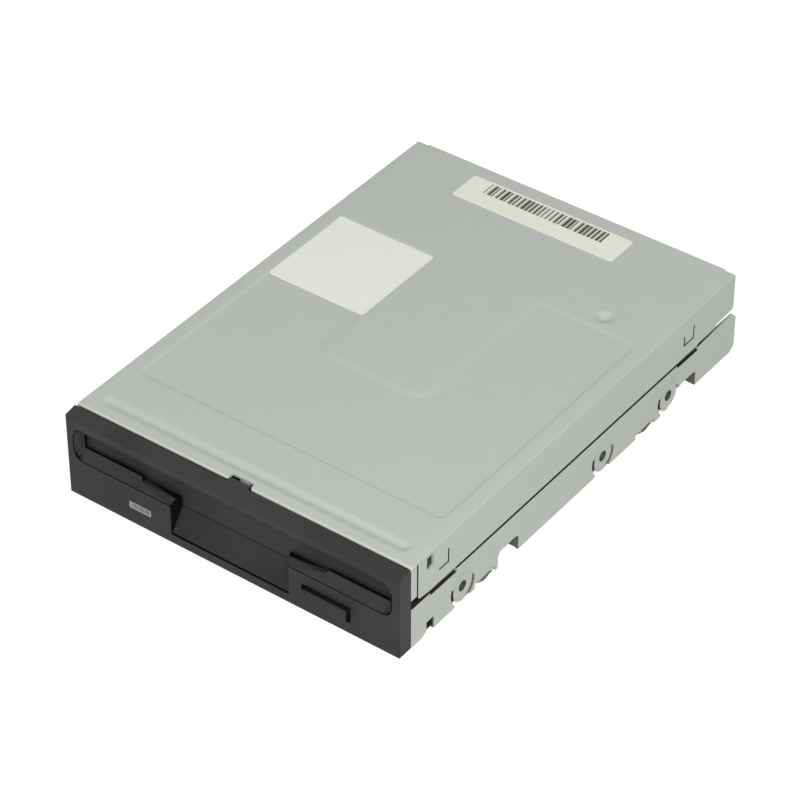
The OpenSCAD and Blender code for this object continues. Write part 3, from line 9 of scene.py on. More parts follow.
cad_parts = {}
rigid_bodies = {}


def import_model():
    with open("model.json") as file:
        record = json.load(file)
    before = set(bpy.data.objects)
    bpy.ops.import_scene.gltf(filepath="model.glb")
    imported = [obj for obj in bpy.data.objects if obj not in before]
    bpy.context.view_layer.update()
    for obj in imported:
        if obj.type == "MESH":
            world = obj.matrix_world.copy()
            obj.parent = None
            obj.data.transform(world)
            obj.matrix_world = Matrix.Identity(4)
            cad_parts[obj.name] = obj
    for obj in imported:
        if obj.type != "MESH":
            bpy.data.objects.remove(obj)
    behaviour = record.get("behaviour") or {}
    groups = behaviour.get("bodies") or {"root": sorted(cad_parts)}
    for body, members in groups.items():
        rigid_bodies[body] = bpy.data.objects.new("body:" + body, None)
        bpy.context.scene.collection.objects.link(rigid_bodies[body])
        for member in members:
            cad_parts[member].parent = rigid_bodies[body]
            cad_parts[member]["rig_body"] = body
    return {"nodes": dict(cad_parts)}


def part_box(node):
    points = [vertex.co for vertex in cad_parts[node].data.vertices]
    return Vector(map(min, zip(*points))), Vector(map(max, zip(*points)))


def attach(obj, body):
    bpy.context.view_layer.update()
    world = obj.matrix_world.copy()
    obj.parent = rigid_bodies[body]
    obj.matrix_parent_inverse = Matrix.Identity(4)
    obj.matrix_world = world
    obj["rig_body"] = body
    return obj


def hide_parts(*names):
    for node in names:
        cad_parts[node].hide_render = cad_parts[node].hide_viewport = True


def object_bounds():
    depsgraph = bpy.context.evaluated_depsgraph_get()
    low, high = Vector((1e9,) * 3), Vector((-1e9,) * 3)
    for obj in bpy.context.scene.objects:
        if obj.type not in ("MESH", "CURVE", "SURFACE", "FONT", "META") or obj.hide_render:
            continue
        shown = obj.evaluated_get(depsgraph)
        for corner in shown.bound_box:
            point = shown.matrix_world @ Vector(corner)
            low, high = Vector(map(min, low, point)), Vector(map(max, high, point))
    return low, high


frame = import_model()

bl_info = {
    "name": "Slim disk drive dressing",
    "version": (1, 0, 0),
    "blender": (4, 5, 0),
    "location": "3D View > Sidebar > Drive",
    "description": "Dresses the packed disk drive with sheet, mouldings, springs, boards and finishes",
    "category": "Object",
}

MM = 0.001
CAD_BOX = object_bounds()
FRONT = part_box("top_cover")[0].y
HALF_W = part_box("top_cover")[1].x
ROOF_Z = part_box("top_cover")[1].z
COVER_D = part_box("top_cover")[1].y - FRONT

# The values from here to the colours are millimetres; y counts from the cover's front edge.
SIDE_HOLES = (21.0, 81.0, 111.0)
SIDE_HOLE_Z = 4.6
LOBES = (30.1, 100.4)
# Cuts in the cover's skirts: first and last y, lowest and highest z.
SLITS = (
    (2.2, 2.75, 0.0, 24.7),
    (14.5, 15.0, 16.8, 21.2),
    (11.0, 15.0, 16.8, 17.3),
    (116.8, 117.3, 16.8, 20.0),
    (121.1, 121.6, 16.8, 21.2),
    (116.8, 121.6, 16.8, 17.3),
)
WINDOW = (6.1, 8.7, 20.2, 23.9)
SKIRT_LINES = (15.4, 16.8, 17.3, 18.5, 20.0, 20.2, 21.2, 22.5, 23.9)
# The roof's front notch, the tab behind it, and the round of the front edge.
NOTCH_X = (-3.4, 3.2)
NOTCH_DEPTH = 1.9
NOTCH_CORNER = 0.8
TAB_X = (-1.3, 1.6)
FRONT_ROUND = 0.35
# The roof's pressings.
PANEL_INSET = 3.9
PANEL_YS = (17.7, 53.1, 102.0)
PANEL_CORNER = 2.8
TONGUE_HALF = 14.9
GROOVE_Y = 5.2
GROOVE_HALF = 1.95
GROOVE_END = 44.7
DIMPLE_INSET = 17.2
DIMPLE_Y = 105.8
DIMPLE_R = 3.0

INK = (0.018, 0.017, 0.012, 1)
# Near black: painted shade, with the dark of raw cut steel.
SHADE_AND_RAW_METAL = (0.02, 0.02, 0.02, 1)
# Pale: a painted highlight along the cover's front edge.
PAINTED_HIGHLIGHT_METAL = (0.6, 0.62, 0.58, 1)
# Near black: painted shade in the hollows of the bezel and the button.
PAINTED_SHADE_BLACK = (0.003, 0.003, 0.003, 1)
DUST = (0.20, 0.20, 0.19, 1)
OLD_PAPER = (0.55, 0.50, 0.36, 1)
WHITE = (1, 1, 1, 1)


def mm(x, y, z):
    """Point in metres, from millimetres, with y counted from the cover's front edge."""
    return np.array([x * MM, FRONT + y * MM, z * MM])


def corners(node):
    """Lowest and highest corner of a CAD node, as arrays."""
    return [np.array(corner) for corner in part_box(node)]


def between(values, low, high):
    """Which values lie inside two bounds."""
    return (values > low) & (values < high)


def on_grid(x, y, z):
    """Points of a grid, from coordinates that may be one row, one column or the whole grid."""
    return np.stack(np.broadcast_arrays(x, y, z), -1)


def graded(stops, bands, coarse):
    """Rising coordinates through every stop, with steps up to coarse, or up to a band's own step in it."""
    marks = [edge for band in bands for edge in band[:2]]
    ends = np.unique(np.round(np.concatenate([stops, marks]), 4))
    ends = ends[(ends >= min(stops)) & (ends <= max(stops))]
    middles = (ends[1:] + ends[:-1]) / 2
    steps = np.full(len(middles), float(coarse))
    for low, high, fine in bands:
        steps = np.where(between(middles, low, high), np.minimum(steps, fine), steps)
    counts = np.ceil(np.diff(ends) / steps - 1e-6).astype(int)
    runs = [np.linspace(a, b, n, endpoint=False) for a, b, n in zip(ends, ends[1:], counts)]
    return np.concatenate(runs + [ends[-1:]])


def cells(rows, columns, wrap=False):
    """Corner indices of each cell of a grid, row by row; wrap joins the last column to the first."""
    across = np.arange(columns if wrap else columns - 1)
    row, column = np.meshgrid(np.arange(rows - 1), across, indexing="ij")
    after = (column + 1) % columns
    first, second = row * columns + column, row * columns + after
    return np.stack([first, second, second + columns, first + columns], -1)


def smoothstep(value):
    """Eased step from 0 to 1: three squares less two cubes of the value, held between 0 and 1."""
    held = np.clip(value, 0, 1)
    return held * held * (3 - 2 * held)


def round_box(x, y, low, high, r):
    """Signed distance to a round-cornered rectangle: the length of the way to the inner one, less r."""
    across = np.abs(x - (low[0] + high[0]) / 2) - (high[0] - low[0]) / 2 + r
    along = np.abs(y - (low[1] + high[1]) / 2) - (high[1] - low[1]) / 2 + r
    outside = np.hypot(np.maximum(across, 0), np.maximum(along, 0))
    return outside + np.minimum(np.maximum(across, along), 0) - r


def thick_sheet(points, thickness, keep=None, ease=0.0):
    """Sheet under a grid: outer points, the same points moved in along the normal, and rims.

    The normal is the cross product of the grid's two slopes. Keep says which cells stay, and rims close every
    edge that only one of them uses. Ease moves the outer points in along the normal, which rounds an edge."""
    rows, columns = points.shape[:2]
    normal = np.cross(np.gradient(points, axis=1), np.gradient(points, axis=0))
    normal /= np.maximum(np.linalg.norm(normal, axis=-1, keepdims=True), 1e-12)
    outer = (points - ease * normal).reshape(-1, 3)
    inner = (points - thickness * normal).reshape(-1, 3)
    faces = cells(rows, columns)
    faces = faces.reshape(-1, 4) if keep is None else faces[keep]
    edges = np.concatenate([faces[:, [k, (k + 1) % 4]] for k in range(4)])
    _, place, count = np.unique(np.sort(edges, axis=1), axis=0, return_index=True, return_counts=True)
    start, end = edges[place[count == 1]].T
    total = len(outer)
    rims = np.stack([end, start, start + total, end + total], -1)
    every = np.concatenate([faces, faces[:, ::-1] + total, rims])
    used, packed = np.unique(every, return_inverse=True)
    return np.concatenate([outer, inner])[used], packed.reshape(every.shape)


def tube(path, radius, sides):
    """Rings of a round tube: circles square to the path's slope, on two directions at right angles to it."""
    slope = np.gradient(path, axis=0)
    slope /= np.linalg.norm(slope, axis=1, keepdims=True)
    first = np.cross(slope, [0.0, 0.0, 1.0])
    first /= np.linalg.norm(first, axis=1, keepdims=True)
    second = np.cross(first, slope)
    turn = np.linspace(0, tau, sides, endpoint=False)[None, :, None]
    return path[:, None] + radius * (np.cos(turn) * first[:, None] + np.sin(turn) * second[:, None])


def close_tube(rings):
    """Points and faces of a tube of rings, with each end filled by one face."""
    count, sides = rings.shape[:2]
    ends = [list(range(sides - 1, -1, -1)), list(range((count - 1) * sides, count * sides))]
    return rings.reshape(-1, 3), cells(count, sides, wrap=True).reshape(-1, 4).tolist() + ends


def rounded_outline(half_x, half_y, r, steps):
    """Points round a round-cornered rectangle, anticlockwise: a quarter circle about each inner corner."""
    turn = np.linspace(0, pi / 2, steps)
    corner = np.stack([np.cos(turn), np.sin(turn)], -1)
    quarters = []
    for k, (sx, sy) in enumerate([(1, 1), (-1, 1), (-1, -1), (1, -1)]):
        c, s = round(cos(k * pi / 2)), round(sin(k * pi / 2))
        quarters.append(r * corner @ np.array([[c, s], [-s, c]]) + [sx * (half_x - r), sy * (half_y - r)])
    return np.concatenate(quarters)


def soft_block(low, high, corner, edge, axis, crown=0.0, steps=6):
    """Block with round corners in plan and a round front edge, closed to a pole at its front's middle.

    Each ring is the rounded outline, drawn in by the edge's quarter circle and then shrunk to the middle,
    where the crown raises it by one less the square of the shrink. Axis is the way that the front faces.
    Corner, edge and crown are millimetres."""
    corner, edge, crown = corner * MM, edge * MM, crown * MM
    tightest, pole = 0.3 * corner, 0.08
    middle, half = (low + high) / 2, (high - low) / 2
    order = [[1, 2, 0], [2, 0, 1], [0, 1, 2]][abs(axis) - 1]
    half_u, half_v, half_w = half[order]
    bend = np.linspace(0, pi / 2, 5)
    levels = [(0.0, -half_w)] + [(edge * (1 - cos(b)), half_w - edge * (1 - sin(b))) for b in bend]
    rings = []
    for inset, rise in levels:
        flat = rounded_outline(half_u - inset, half_v - inset, max(corner - inset, tightest), steps)
        rings.append(np.column_stack([flat, np.full(len(flat), rise)]))
    last = rings[-1]
    for s in np.linspace(1, pole, 5)[1:]:
        rings.append(last * [s, s, 1] + [0, 0, crown * (1 - s * s)])
    rings = np.stack(rings)
    if axis < 0:
        rings = rings[:, ::-1] * [1, 1, -1]
    placed = np.empty_like(rings)
    placed[..., order] = rings
    return close_tube(placed + middle)


def repeated(points, faces, places):
    """Copies of one small shape: its points moved to each place, its faces counted on."""
    moved = (places[:, None] + points[None]).reshape(-1, 3)
    shift = np.arange(len(places)) * len(points)
    return moved, [[i + s for i in face] for s in shift for face in faces]


def joined(*shapes):
    """One list of points and faces from several shapes."""
    points, faces, count = [], [], 0
    for p, f in shapes:
        points.append(p)
        faces += [[int(i) + count for i in face] for face in f]
        count += len(p)
    return np.concatenate(points), faces


def add_piece(name, shape, like, finish, replaced=(), sharp=35.0):
    """Puts points and faces into a mesh that rides with the body of the CAD node called like."""
    points, faces = shape
    mesh = bpy.data.meshes.new(name)
    mesh.from_pydata(np.asarray(points).tolist(), [], [list(map(int, face)) for face in faces])
    if mesh.validate():
        raise RuntimeError(name + " has faces that can't be")
    mesh.shade_smooth()
    mesh.set_sharp_from_angle(angle=radians(sharp))
    return settle(bpy.data.objects.new(name, mesh), like, finish, replaced)


def settle(piece, like, finish, replaced):
    """Links a piece, gives it its finish and record slot, and rides it with the body of the node like."""
    bpy.context.scene.collection.objects.link(piece)
    piece.data.materials.clear()
    piece.data.materials.append(bpy.data.materials[finish])
    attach(piece, frame["nodes"][like]["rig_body"])
    if replaced:
        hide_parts(*replaced)
    return piece


def face_places(mesh):
    """Normals of a mesh's faces, and the x, y and z of their middles, in millimetres."""
    normal, centre = np.empty((2, len(mesh.polygons) * 3))
    mesh.polygons.foreach_get("normal", normal)
    mesh.polygons.foreach_get("center", centre)
    return normal.reshape(-1, 3), *((centre.reshape(-1, 3) - mm(0, 0, 0)) / MM).T


def set_mark(mesh, name, values):
    """Writes a face attribute."""
    marks = mesh.attributes.new(name, "FLOAT", "FACE")
    marks.data.foreach_set("value", np.asarray(values, np.float32))


def mark_painted_shade(mesh):
    """Face attribute of painted shade: 1 on the bezel's inner walls, painted dull and black as the shade in
    them.

    These are the walls of the slot, the scoop's side walls, and the walls of the button's hole and of the
    fine lines just behind the front face. The scoop's slope gets a little of this painted shade."""
    slot_half, slot_z, slot_in = 48.6, (13, 19.1), 2.0
    scoop_x, scoop_top, scoop_in = (12, 22.3), 14.6, 0.05
    line_half, line_z, line_in = 49.3, (2, 22.5), (0.03, 1.0)
    hole_x, hole_z, hole_half_x, hole_half_z = 29.25, 6.1, 7.6, 2.6
    slope_half, slope_share = 22, 0.22
    normal, x, y, z = face_places(mesh)
    out = np.abs(x)
    behind = y - (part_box("front_bezel")[0].y / MM - FRONT / MM)
    upright = np.abs(normal[:, 1]) < 0.3
    slot = upright & (behind > slot_in) & between(z, *slot_z) & (out < slot_half)
    low = (z < scoop_top) & (behind > scoop_in)
    scoop = (np.abs(normal[:, 0]) > 0.5) & between(out, *scoop_x) & low
    line = between(behind, *line_in) & (out < line_half) & between(z, *line_z)
    line &= upright | (normal[:, 1] < -0.98)
    hole = upright & (behind > line_in[0]) & (np.abs(x - hole_x) < hole_half_x)
    hole &= np.abs(z - hole_z) < hole_half_z
    slope = (normal[:, 1] < -0.2) & (normal[:, 2] > 0.2) & (out < slope_half) & low
    set_mark(mesh, "hollow", np.maximum(slot | scoop | line | hole, slope_share * slope))


def mark_shade_and_raw_edges(mesh):
    """Face attribute that paints shade on the frame's walls, with the dark of raw sheared steel, from 0 to 1.

    It is 1 on the top edge just under the cover's foot, painted as the shadow in the seam, and in the slits
    round the side bosses, painted as the shade inside them. It is less on the flanges, lobes and hooks that
    turn in below, painted as the shade that they stand in."""
    top_end, top_under, turned_share = 133, 0.7, 0.8
    slit_r, front_slit, rear_slit = (3.95, 5.6), (157, 225), (292, 18)
    flange_ys, lobe_ys, hook_ys = (44, 123.7), (30, 100), (8,)
    normal, x, y, z = face_places(mesh)
    inset = HALF_W / MM - np.abs(x)
    along = np.abs(normal[:, 0]) < 0.3
    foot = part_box("top_cover")[0].z / MM

    def near(places, reach):
        """Which faces lie within reach of one of the places along y."""
        return np.any([np.abs(y - place) < reach for place in places], axis=0)

    raw_and_shaded = (normal[:, 2] > 0.9) & (np.abs(z - foot + top_under) < 0.9) & (inset < 1.1) & (y < top_end)
    for boss in SIDE_HOLES:
        r = np.hypot(y - boss, z - SIDE_HOLE_Z)
        turn = np.degrees(np.arctan2(z - SIDE_HOLE_Z, y - boss)) % 360
        slit = between(turn, *front_slit) | (turn > rear_slit[0]) | (turn < rear_slit[1])
        raw_and_shaded |= slit & between(r, *slit_r) & along & (inset < 2.2)
    flange = near(flange_ys, 0.3) & (normal[:, 1] < -0.9) & (inset < 6) & (z < 4.7)
    lobe = near(lobe_ys, 2.7) & (inset < 1.05) & (z < 1.2)
    hook = near(hook_ys, 2) & along & (inset < 1.1) & (z < 3)
    set_mark(mesh, "raw_edge", np.maximum(raw_and_shaded, turned_share * (flange | lobe | hook)))


def rounded_copy(node, width, finish, marks=None, plain=((0, 0, 0), (0, 0, 0))):
    """Merged copy of a CAD node whose longer edges get a narrow bevel, outside the plain box.

    Width and the box are millimetres; the box holds on both sides. Marks writes the face attribute."""
    shortest, bent, sharp = 0.9 * MM, radians(38), radians(24)
    mesh = frame["nodes"][node].data.copy()
    mesh.name = node + "_rounded"
    work = bmesh.new()
    work.from_mesh(mesh)
    bmesh.ops.remove_doubles(work, verts=work.verts, dist=2e-6)
    weights = work.edges.layers.float.new("bevel_weight_edge")
    for edge in work.edges:
        middle = (np.array(edge.verts[0].co + edge.verts[1].co) / 2 - mm(0, 0, 0)) / MM
        middle[0] = abs(middle[0])
        inside = (middle > plain[0]).all() and (middle < plain[1]).all()
        if len(edge.link_faces) == 2 and edge.calc_face_angle() > bent and not inside:
            edge[weights] = float(edge.calc_length() > shortest)
    work.to_mesh(mesh)
    work.free()
    mesh.shade_smooth()
    mesh.set_sharp_from_angle(angle=sharp)
    if marks:
        marks(mesh)
    piece = bpy.data.objects.new(mesh.name, mesh)
    bevel = piece.modifiers.new("Edges", "BEVEL")
    bevel.limit_method = "WEIGHT"
    bevel.width = width * MM
    bevel.segments = 2
    bevel.use_clamp_overlap = False
    flats = piece.modifiers.new("Flats", "WEIGHTED_NORMAL")
    flats.weight = 100
    flats.keep_sharp = True
    return settle(piece, node, finish, [node])


class DriveSizes(bpy.types.PropertyGroup):
    """Sizes of the dressing that a user would change."""

    sheet: bpy.props.FloatProperty(
        name="Sheet", description="Thickness of the cover's sheet", default=0.6 * MM, unit="LENGTH")
    bend: bpy.props.FloatProperty(
        name="Bend", description="Outer radius of the cover's bends", default=0.7 * MM, unit="LENGTH")
    panel_depth: bpy.props.FloatProperty(
        name="Panel depth", description="Depth of the sunk panel", default=0.32 * MM, unit="LENGTH")
    groove_depth: bpy.props.FloatProperty(
        name="Groove depth", description="Depth of the front groove", default=0.6 * MM, unit="LENGTH")
    dimple_depth: bpy.props.FloatProperty(
        name="Dimple depth", description="Depth of the dimple", default=1.0 * MM, unit="LENGTH")
    press_wall: bpy.props.FloatProperty(
        name="Pressing wall", description="Run of a pressing's sloped wall", default=1.1 * MM, unit="LENGTH")
    inner_wall: bpy.props.FloatProperty(
        name="Inner wall", description="Run of the panel's gentle wall", default=2.9 * MM, unit="LENGTH")
    mould_edge: bpy.props.FloatProperty(
        name="Moulded edge", description="Bevel width on moulded edges", default=0.1 * MM, unit="LENGTH")
    label_corner: bpy.props.FloatProperty(
        name="Label corner", description="Corner radius of the labels", default=1.0 * MM, unit="LENGTH")


class DriveColours(bpy.types.PropertyGroup):
    """Main colours, as scene linear values."""

    zinc: bpy.props.FloatVectorProperty(
        name="Zinc", description="Galvanised sheet", default=(0.486, 0.511, 0.473), subtype="COLOR", size=3)
    black: bpy.props.FloatVectorProperty(
        name="Black", description="Bezel and button", default=(0.014, 0.014, 0.0135), subtype="COLOR", size=3)
    flap: bpy.props.FloatVectorProperty(
        name="Flap", description="Flap in the slot", default=(0.013, 0.013, 0.0125), subtype="COLOR", size=3)
    lens: bpy.props.FloatVectorProperty(
        name="Lens", description="Lamp window", default=(0.40, 0.40, 0.39), subtype="COLOR", size=3)
    board: bpy.props.FloatVectorProperty(
        name="Board", description="Circuit boards", default=(0.012, 0.075, 0.035), subtype="COLOR", size=3)
    paper: bpy.props.FloatVectorProperty(
        name="Paper", description="White label", default=(0.82, 0.825, 0.79), subtype="COLOR", size=3)
    cream: bpy.props.FloatVectorProperty(
        name="Cream", description="Cream label", default=(0.825, 0.82, 0.725), subtype="COLOR", size=3)


class DriveStage(bpy.types.PropertyGroup):
    """Camera and light."""

    azimuth: bpy.props.FloatProperty(
        name="Azimuth", description="Turn of the camera from the front", default=radians(36.2009),
        subtype="ANGLE")
    elevation: bpy.props.FloatProperty(
        name="Elevation", description="Height of the camera as an angle", default=radians(38.635),
        subtype="ANGLE")
    roll: bpy.props.FloatProperty(
        name="Roll", description="Turn about the line of sight", default=radians(0.31743), subtype="ANGLE")
    distance: bpy.props.FloatProperty(
        name="Distance", description="From the camera to the middle", default=0.8323948, unit="LENGTH")
    focal: bpy.props.FloatProperty(
        name="Focal length", description="Of the camera, in millimetres", default=148.1108)
    key: bpy.props.FloatProperty(
        name="Key", description="Power of the soft lamp", default=6.2, unit="POWER")
    sky: bpy.props.FloatProperty(
        name="Sky", description="Strength of the even light all round", default=0.45)


def add(tree, kind, inputs=None, **settings):
    """Adds a node; an input that is a socket is linked, any other is set as a value."""
    made = tree.nodes.new(kind)
    for key, value in settings.items():
        setattr(made, key, value)
    for key, value in (inputs or {}).items():
        if isinstance(value, bpy.types.NodeSocket):
            tree.links.new(value, made.inputs[key])
        else:
            made.inputs[key].default_value = value
    return made


def maths(tree, operation, a, b=0.0):
    """Output of a Math node."""
    return add(tree, "ShaderNodeMath", {0: a, 1: b}, operation=operation).outputs[0]


def times(tree, a, b):
    """One value times another."""
    return maths(tree, "MULTIPLY", a, b)


def plus(tree, a, b, *more):
    """Sum of values, from the left."""
    total = maths(tree, "ADD", a, b)
    return plus(tree, total, *more) if more else total


def swing(tree, value, reach):
    """A value's way from one half, times a reach."""
    return times(tree, maths(tree, "SUBTRACT", value, 0.5), reach)


def ramp(tree, value, low, high, to_low=0.0, to_high=1.0):
    """Output of a clamped Map Range node."""
    inputs = {"Value": value, "From Min": low, "From Max": high, "To Min": to_low, "To Max": to_high}
    return add(tree, "ShaderNodeMapRange", inputs).outputs[0]


def mixed(tree, share, a, b):
    """Colour output of a Mix node; its inputs 6 and 7 are the two colours."""
    return add(tree, "ShaderNodeMix", {"Factor": share, 6: a, 7: b}, data_type="RGBA").outputs[2]


def scaled(tree, colour, level):
    """A colour times a level; input 3 of a Vector Math node is its scale."""
    return add(tree, "ShaderNodeVectorMath", {0: colour, 3: level}, operation="SCALE").outputs[0]


def noise(tree, place, scale, detail=2.0, rough=0.5):
    """Value output of a Noise node, its scale in waves to the metre."""
    inputs = {"Vector": place, "Scale": scale, "Detail": detail, "Roughness": rough}
    return add(tree, "ShaderNodeTexNoise", inputs).outputs[0]


def object_place(tree):
    """Object coordinates."""
    return add(tree, "ShaderNodeTexCoord").outputs["Object"]


def mapped(tree, place, **settings):
    """Coordinates through a Mapping node."""
    return add(tree, "ShaderNodeMapping", {"Vector": place, **settings}).outputs[0]


def attribute(tree, name):
    """Value of a face attribute."""
    return add(tree, "ShaderNodeAttribute", attribute_name=name).outputs["Fac"]


def new_group(name, **inputs):
    """Empty shader node group with named inputs; gives its tree and the inputs' sockets.

    An input of four numbers is a colour, one of three a vector, and any other a value."""
    tree = bpy.data.node_groups.new(name, "ShaderNodeTree")
    for label, value in inputs.items():
        kind = {4: "NodeSocketColor", 3: "NodeSocketVector"}.get(np.size(value), "NodeSocketFloat")
        socket = tree.interface.new_socket(label, in_out="INPUT", socket_type=kind)
        socket.default_value = value
    return tree, tree.nodes.new("NodeGroupInput").outputs


def put_out(tree, **outputs):
    """Gives a group its named outputs; the one called Colour is a colour and the others are values."""
    for label in outputs:
        kind = "NodeSocketColor" if label == "Colour" else "NodeSocketFloat"
        tree.interface.new_socket(label, in_out="OUTPUT", socket_type=kind)
    end = tree.nodes.new("NodeGroupOutput")
    for label, socket in outputs.items():
        tree.links.new(socket, end.inputs[label])


def make_zinc_bloom():
    """Galvanised sheet: faint spangle cells, fine rolled grain and slow stains vary the colour and gloss."""
    tree, given = new_group("zinc_bloom", Colour=(0.5, 0.5, 0.5, 1), Spangle=0.05, Stain=0.06, Gloss=0.45)
    place = object_place(tree)
    cell = add(tree, "ShaderNodeTexVoronoi", {"Vector": place, "Scale": 330.0, "Randomness": 1.0})
    flake = add(tree, "ShaderNodeSeparateColor", {0: cell.outputs["Color"]}).outputs[0]
    grain = noise(tree, mapped(tree, place, Scale=(9.0, 1.0, 9.0)), 420.0, 3.0, 0.6)
    stain = noise(tree, place, 22.0, 4.0, 0.55)
    speck = noise(tree, place, 2600.0, 2.0, 0.6)
    level = swing(tree, flake, given["Spangle"])
    cloud = swing(tree, stain, given["Stain"])
    total = plus(tree, level, cloud, plus(tree, swing(tree, speck, 0.09), 1.0))
    put_out(tree, Colour=scaled(tree, given["Colour"], total),
            Roughness=plus(tree, given["Gloss"], times(tree, cloud, 1.2), swing(tree, grain, 0.12)),
            Height=plus(tree, grain, times(tree, speck, 0.6)))


def make_mould_grain():
    """Spark-eroded moulding: fine pebbled height, with dust that lightens and dulls in slow patches."""
    tree, given = new_group("mould_grain", Colour=(0.04, 0.04, 0.04, 1), Dust=0.1, Gloss=0.5, Grain=3800.0)
    place = object_place(tree)
    pebble = add(tree, "ShaderNodeTexVoronoi", {"Vector": place, "Scale": given["Grain"]}).outputs[0]
    rough = noise(tree, place, 5200.0, 3.0, 0.6)
    patch = noise(tree, place, 45.0, 5.0, 0.6)
    film = times(tree, ramp(tree, patch, 0.35, 0.75), given["Dust"])
    speck = ramp(tree, noise(tree, place, 1500.0, 1.0), 0.70, 0.80)
    dust = plus(tree, film, times(tree, speck, times(tree, film, 1.5)))
    put_out(tree, Colour=mixed(tree, dust, given["Colour"], DUST),
            Roughness=plus(tree, given["Gloss"], times(tree, dust, 0.5), swing(tree, rough, 0.16)),
            Height=plus(tree, pebble, times(tree, rough, 0.5)))


def make_drawn_marks():
    """Turned or drawn metal: fine lines along one way, from noise that is stretched by the given scale."""
    tree, given = new_group("drawn_marks", Colour=(0.6, 0.6, 0.6, 1), Stretch=(1, 1, 1), Gloss=0.3)
    stretched = add(tree, "ShaderNodeVectorMath", {0: object_place(tree), 1: given["Stretch"]},
                    operation="MULTIPLY").outputs[0]
    line = noise(tree, stretched, 900.0, 4.0, 0.65)
    stain = noise(tree, object_place(tree), 120.0, 3.0)
    level = times(tree, ramp(tree, line, 0.2, 0.8, 0.86, 1.06), ramp(tree, stain, 0.2, 0.8, 0.94, 1.03))
    put_out(tree, Colour=scaled(tree, given["Colour"], level),
            Roughness=plus(tree, given["Gloss"], ramp(tree, line, 0.2, 0.8, -0.08, 0.1)), Height=line)


def make_board_tracks():
    """Masked board: straight tracks in patches of bricks, crooked ones along cell edges, and round lands."""
    tree, given = new_group("board_tracks", Colour=(0.01, 0.08, 0.04, 1), Track=(0.03, 0.16, 0.07, 1),
                            Land=(0.55, 0.56, 0.55, 1))
    place = object_place(tree)
    flat = mapped(tree, place, Scale=(1.0, 1.0, 0.0))
    lines = add(tree, "ShaderNodeTexVoronoi", {"Vector": flat, "Scale": 210.0}, feature="DISTANCE_TO_EDGE")
    brick = add(tree, "ShaderNodeTexBrick", {
        "Vector": flat, "Scale": 130.0, "Mortar Size": 0.05, "Mortar Smooth": 0.15, "Brick Width": 3.2,
        "Row Height": 0.22, "Color1": (0, 0, 0, 1), "Color2": (0, 0, 0, 1), "Mortar": WHITE},
        offset=0.37, squash=0.6, squash_frequency=3)
    straight = maths(tree, "SUBTRACT", 1.0, brick.outputs["Fac"])
    region = ramp(tree, noise(tree, flat, 55.0, 1.0), 0.46, 0.5)
    crooked = ramp(tree, lines.outputs["Distance"], 0.035, 0.05, 1.0, 0.0)
    track = maths(tree, "MAXIMUM", times(tree, straight, region), crooked)
    dots = add(tree, "ShaderNodeTexVoronoi", {"Vector": flat, "Scale": 300.0, "Randomness": 0.75})
    chosen = add(tree, "ShaderNodeSeparateColor", {0: dots.outputs["Color"]}).outputs[1]
    spot = ramp(tree, dots.outputs["Distance"], 0.12, 0.14, 1.0, 0.0)
    land = times(tree, spot, maths(tree, "GREATER_THAN", chosen, 0.72))
    cloud = ramp(tree, noise(tree, place, 60.0, 4.0), 0.3, 0.7, 0.85, 1.1)
    masked = scaled(tree, mixed(tree, track, given["Colour"], given["Track"]), cloud)
    put_out(tree, Colour=mixed(tree, land, masked, given["Land"]), Metallic=times(tree, land, 0.9),
            Height=plus(tree, track, land))


def make_paper_fibre():
    """Coated paper: short fibres and slow yellowing vary the colour."""
    tree, given = new_group("paper_fibre", Colour=(0.8, 0.8, 0.78, 1), Age=0.05)
    place = object_place(tree)
    slant = mapped(tree, place, Rotation=(0, 0, 0.7), Scale=(1.0, 5.0, 1.0))
    fibre = noise(tree, slant, 700.0, 4.0, 0.7)
    cloud = noise(tree, place, 60.0, 3.0)
    share = times(tree, ramp(tree, cloud, 0.3, 0.75), given["Age"])
    aged = mixed(tree, share, given["Colour"], OLD_PAPER)
    put_out(tree, Colour=scaled(tree, aged, ramp(tree, fibre, 0.2, 0.8, 0.965, 1.02)),
            Roughness=ramp(tree, fibre, 0.2, 0.8, 0.62, 0.5), Height=fibre)


def start_finish(name, group, inputs, bump, **fixed):
    """New material: a Principled shader whose colour, roughness and bump come from one group.

    Bump is its strength, and its depth in millimetres. Fixed values go to the shader's own sockets."""
    material = bpy.data.materials.new(name)
    material.use_nodes = True
    tree = material.node_tree
    shader = tree.nodes["Principled BSDF"]
    for key, value in fixed.items():
        shader.inputs[key.replace("_", " ")].default_value = value
    effect = add(tree, "ShaderNodeGroup", node_tree=bpy.data.node_groups[group])
    for key, value in inputs.items():
        effect.inputs[key].default_value = value
    for label, socket in (("Colour", "Base Color"), ("Roughness", "Roughness"), ("Metallic", "Metallic")):
        if label in effect.outputs:
            tree.links.new(effect.outputs[label], shader.inputs[socket])
    strength, depth = bump
    relief = {"Strength": strength, "Distance": depth * MM, "Height": effect.outputs["Height"]}
    tree.links.new(add(tree, "ShaderNodeBump", relief).outputs[0], shader.inputs["Normal"])
    return tree, shader, effect


def zinc_finish(name, colour):
    """Galvanised sheet. One face attribute paints it near black, as shade with the dark of raw cut steel,
    and another paints a pale highlight.
    """
    inputs = {"Colour": (*colour, 1), "Spangle": 0.012, "Stain": 0.03, "Gloss": 0.6}
    tree, shader, effect = start_finish(name, "zinc_bloom", inputs, (0.12, 0.01), Metallic=0.15)
    dark = mixed(tree, attribute(tree, "raw_edge"), effect.outputs["Colour"], SHADE_AND_RAW_METAL)
    edged = mixed(tree, attribute(tree, "bright_edge"), dark, PAINTED_HIGHLIGHT_METAL)
    tree.links.new(edged, shader.inputs["Base Color"])


def plastic_finish(name, colour, dust=0.1, gloss=0.5, grain=3800.0, bump=(0.25, 0.012), **fixed):
    """Moulded plastic."""
    inputs = {"Colour": (*colour, 1), "Dust": dust, "Gloss": gloss, "Grain": grain}
    return start_finish(name, "mould_grain", inputs, bump, **fixed)


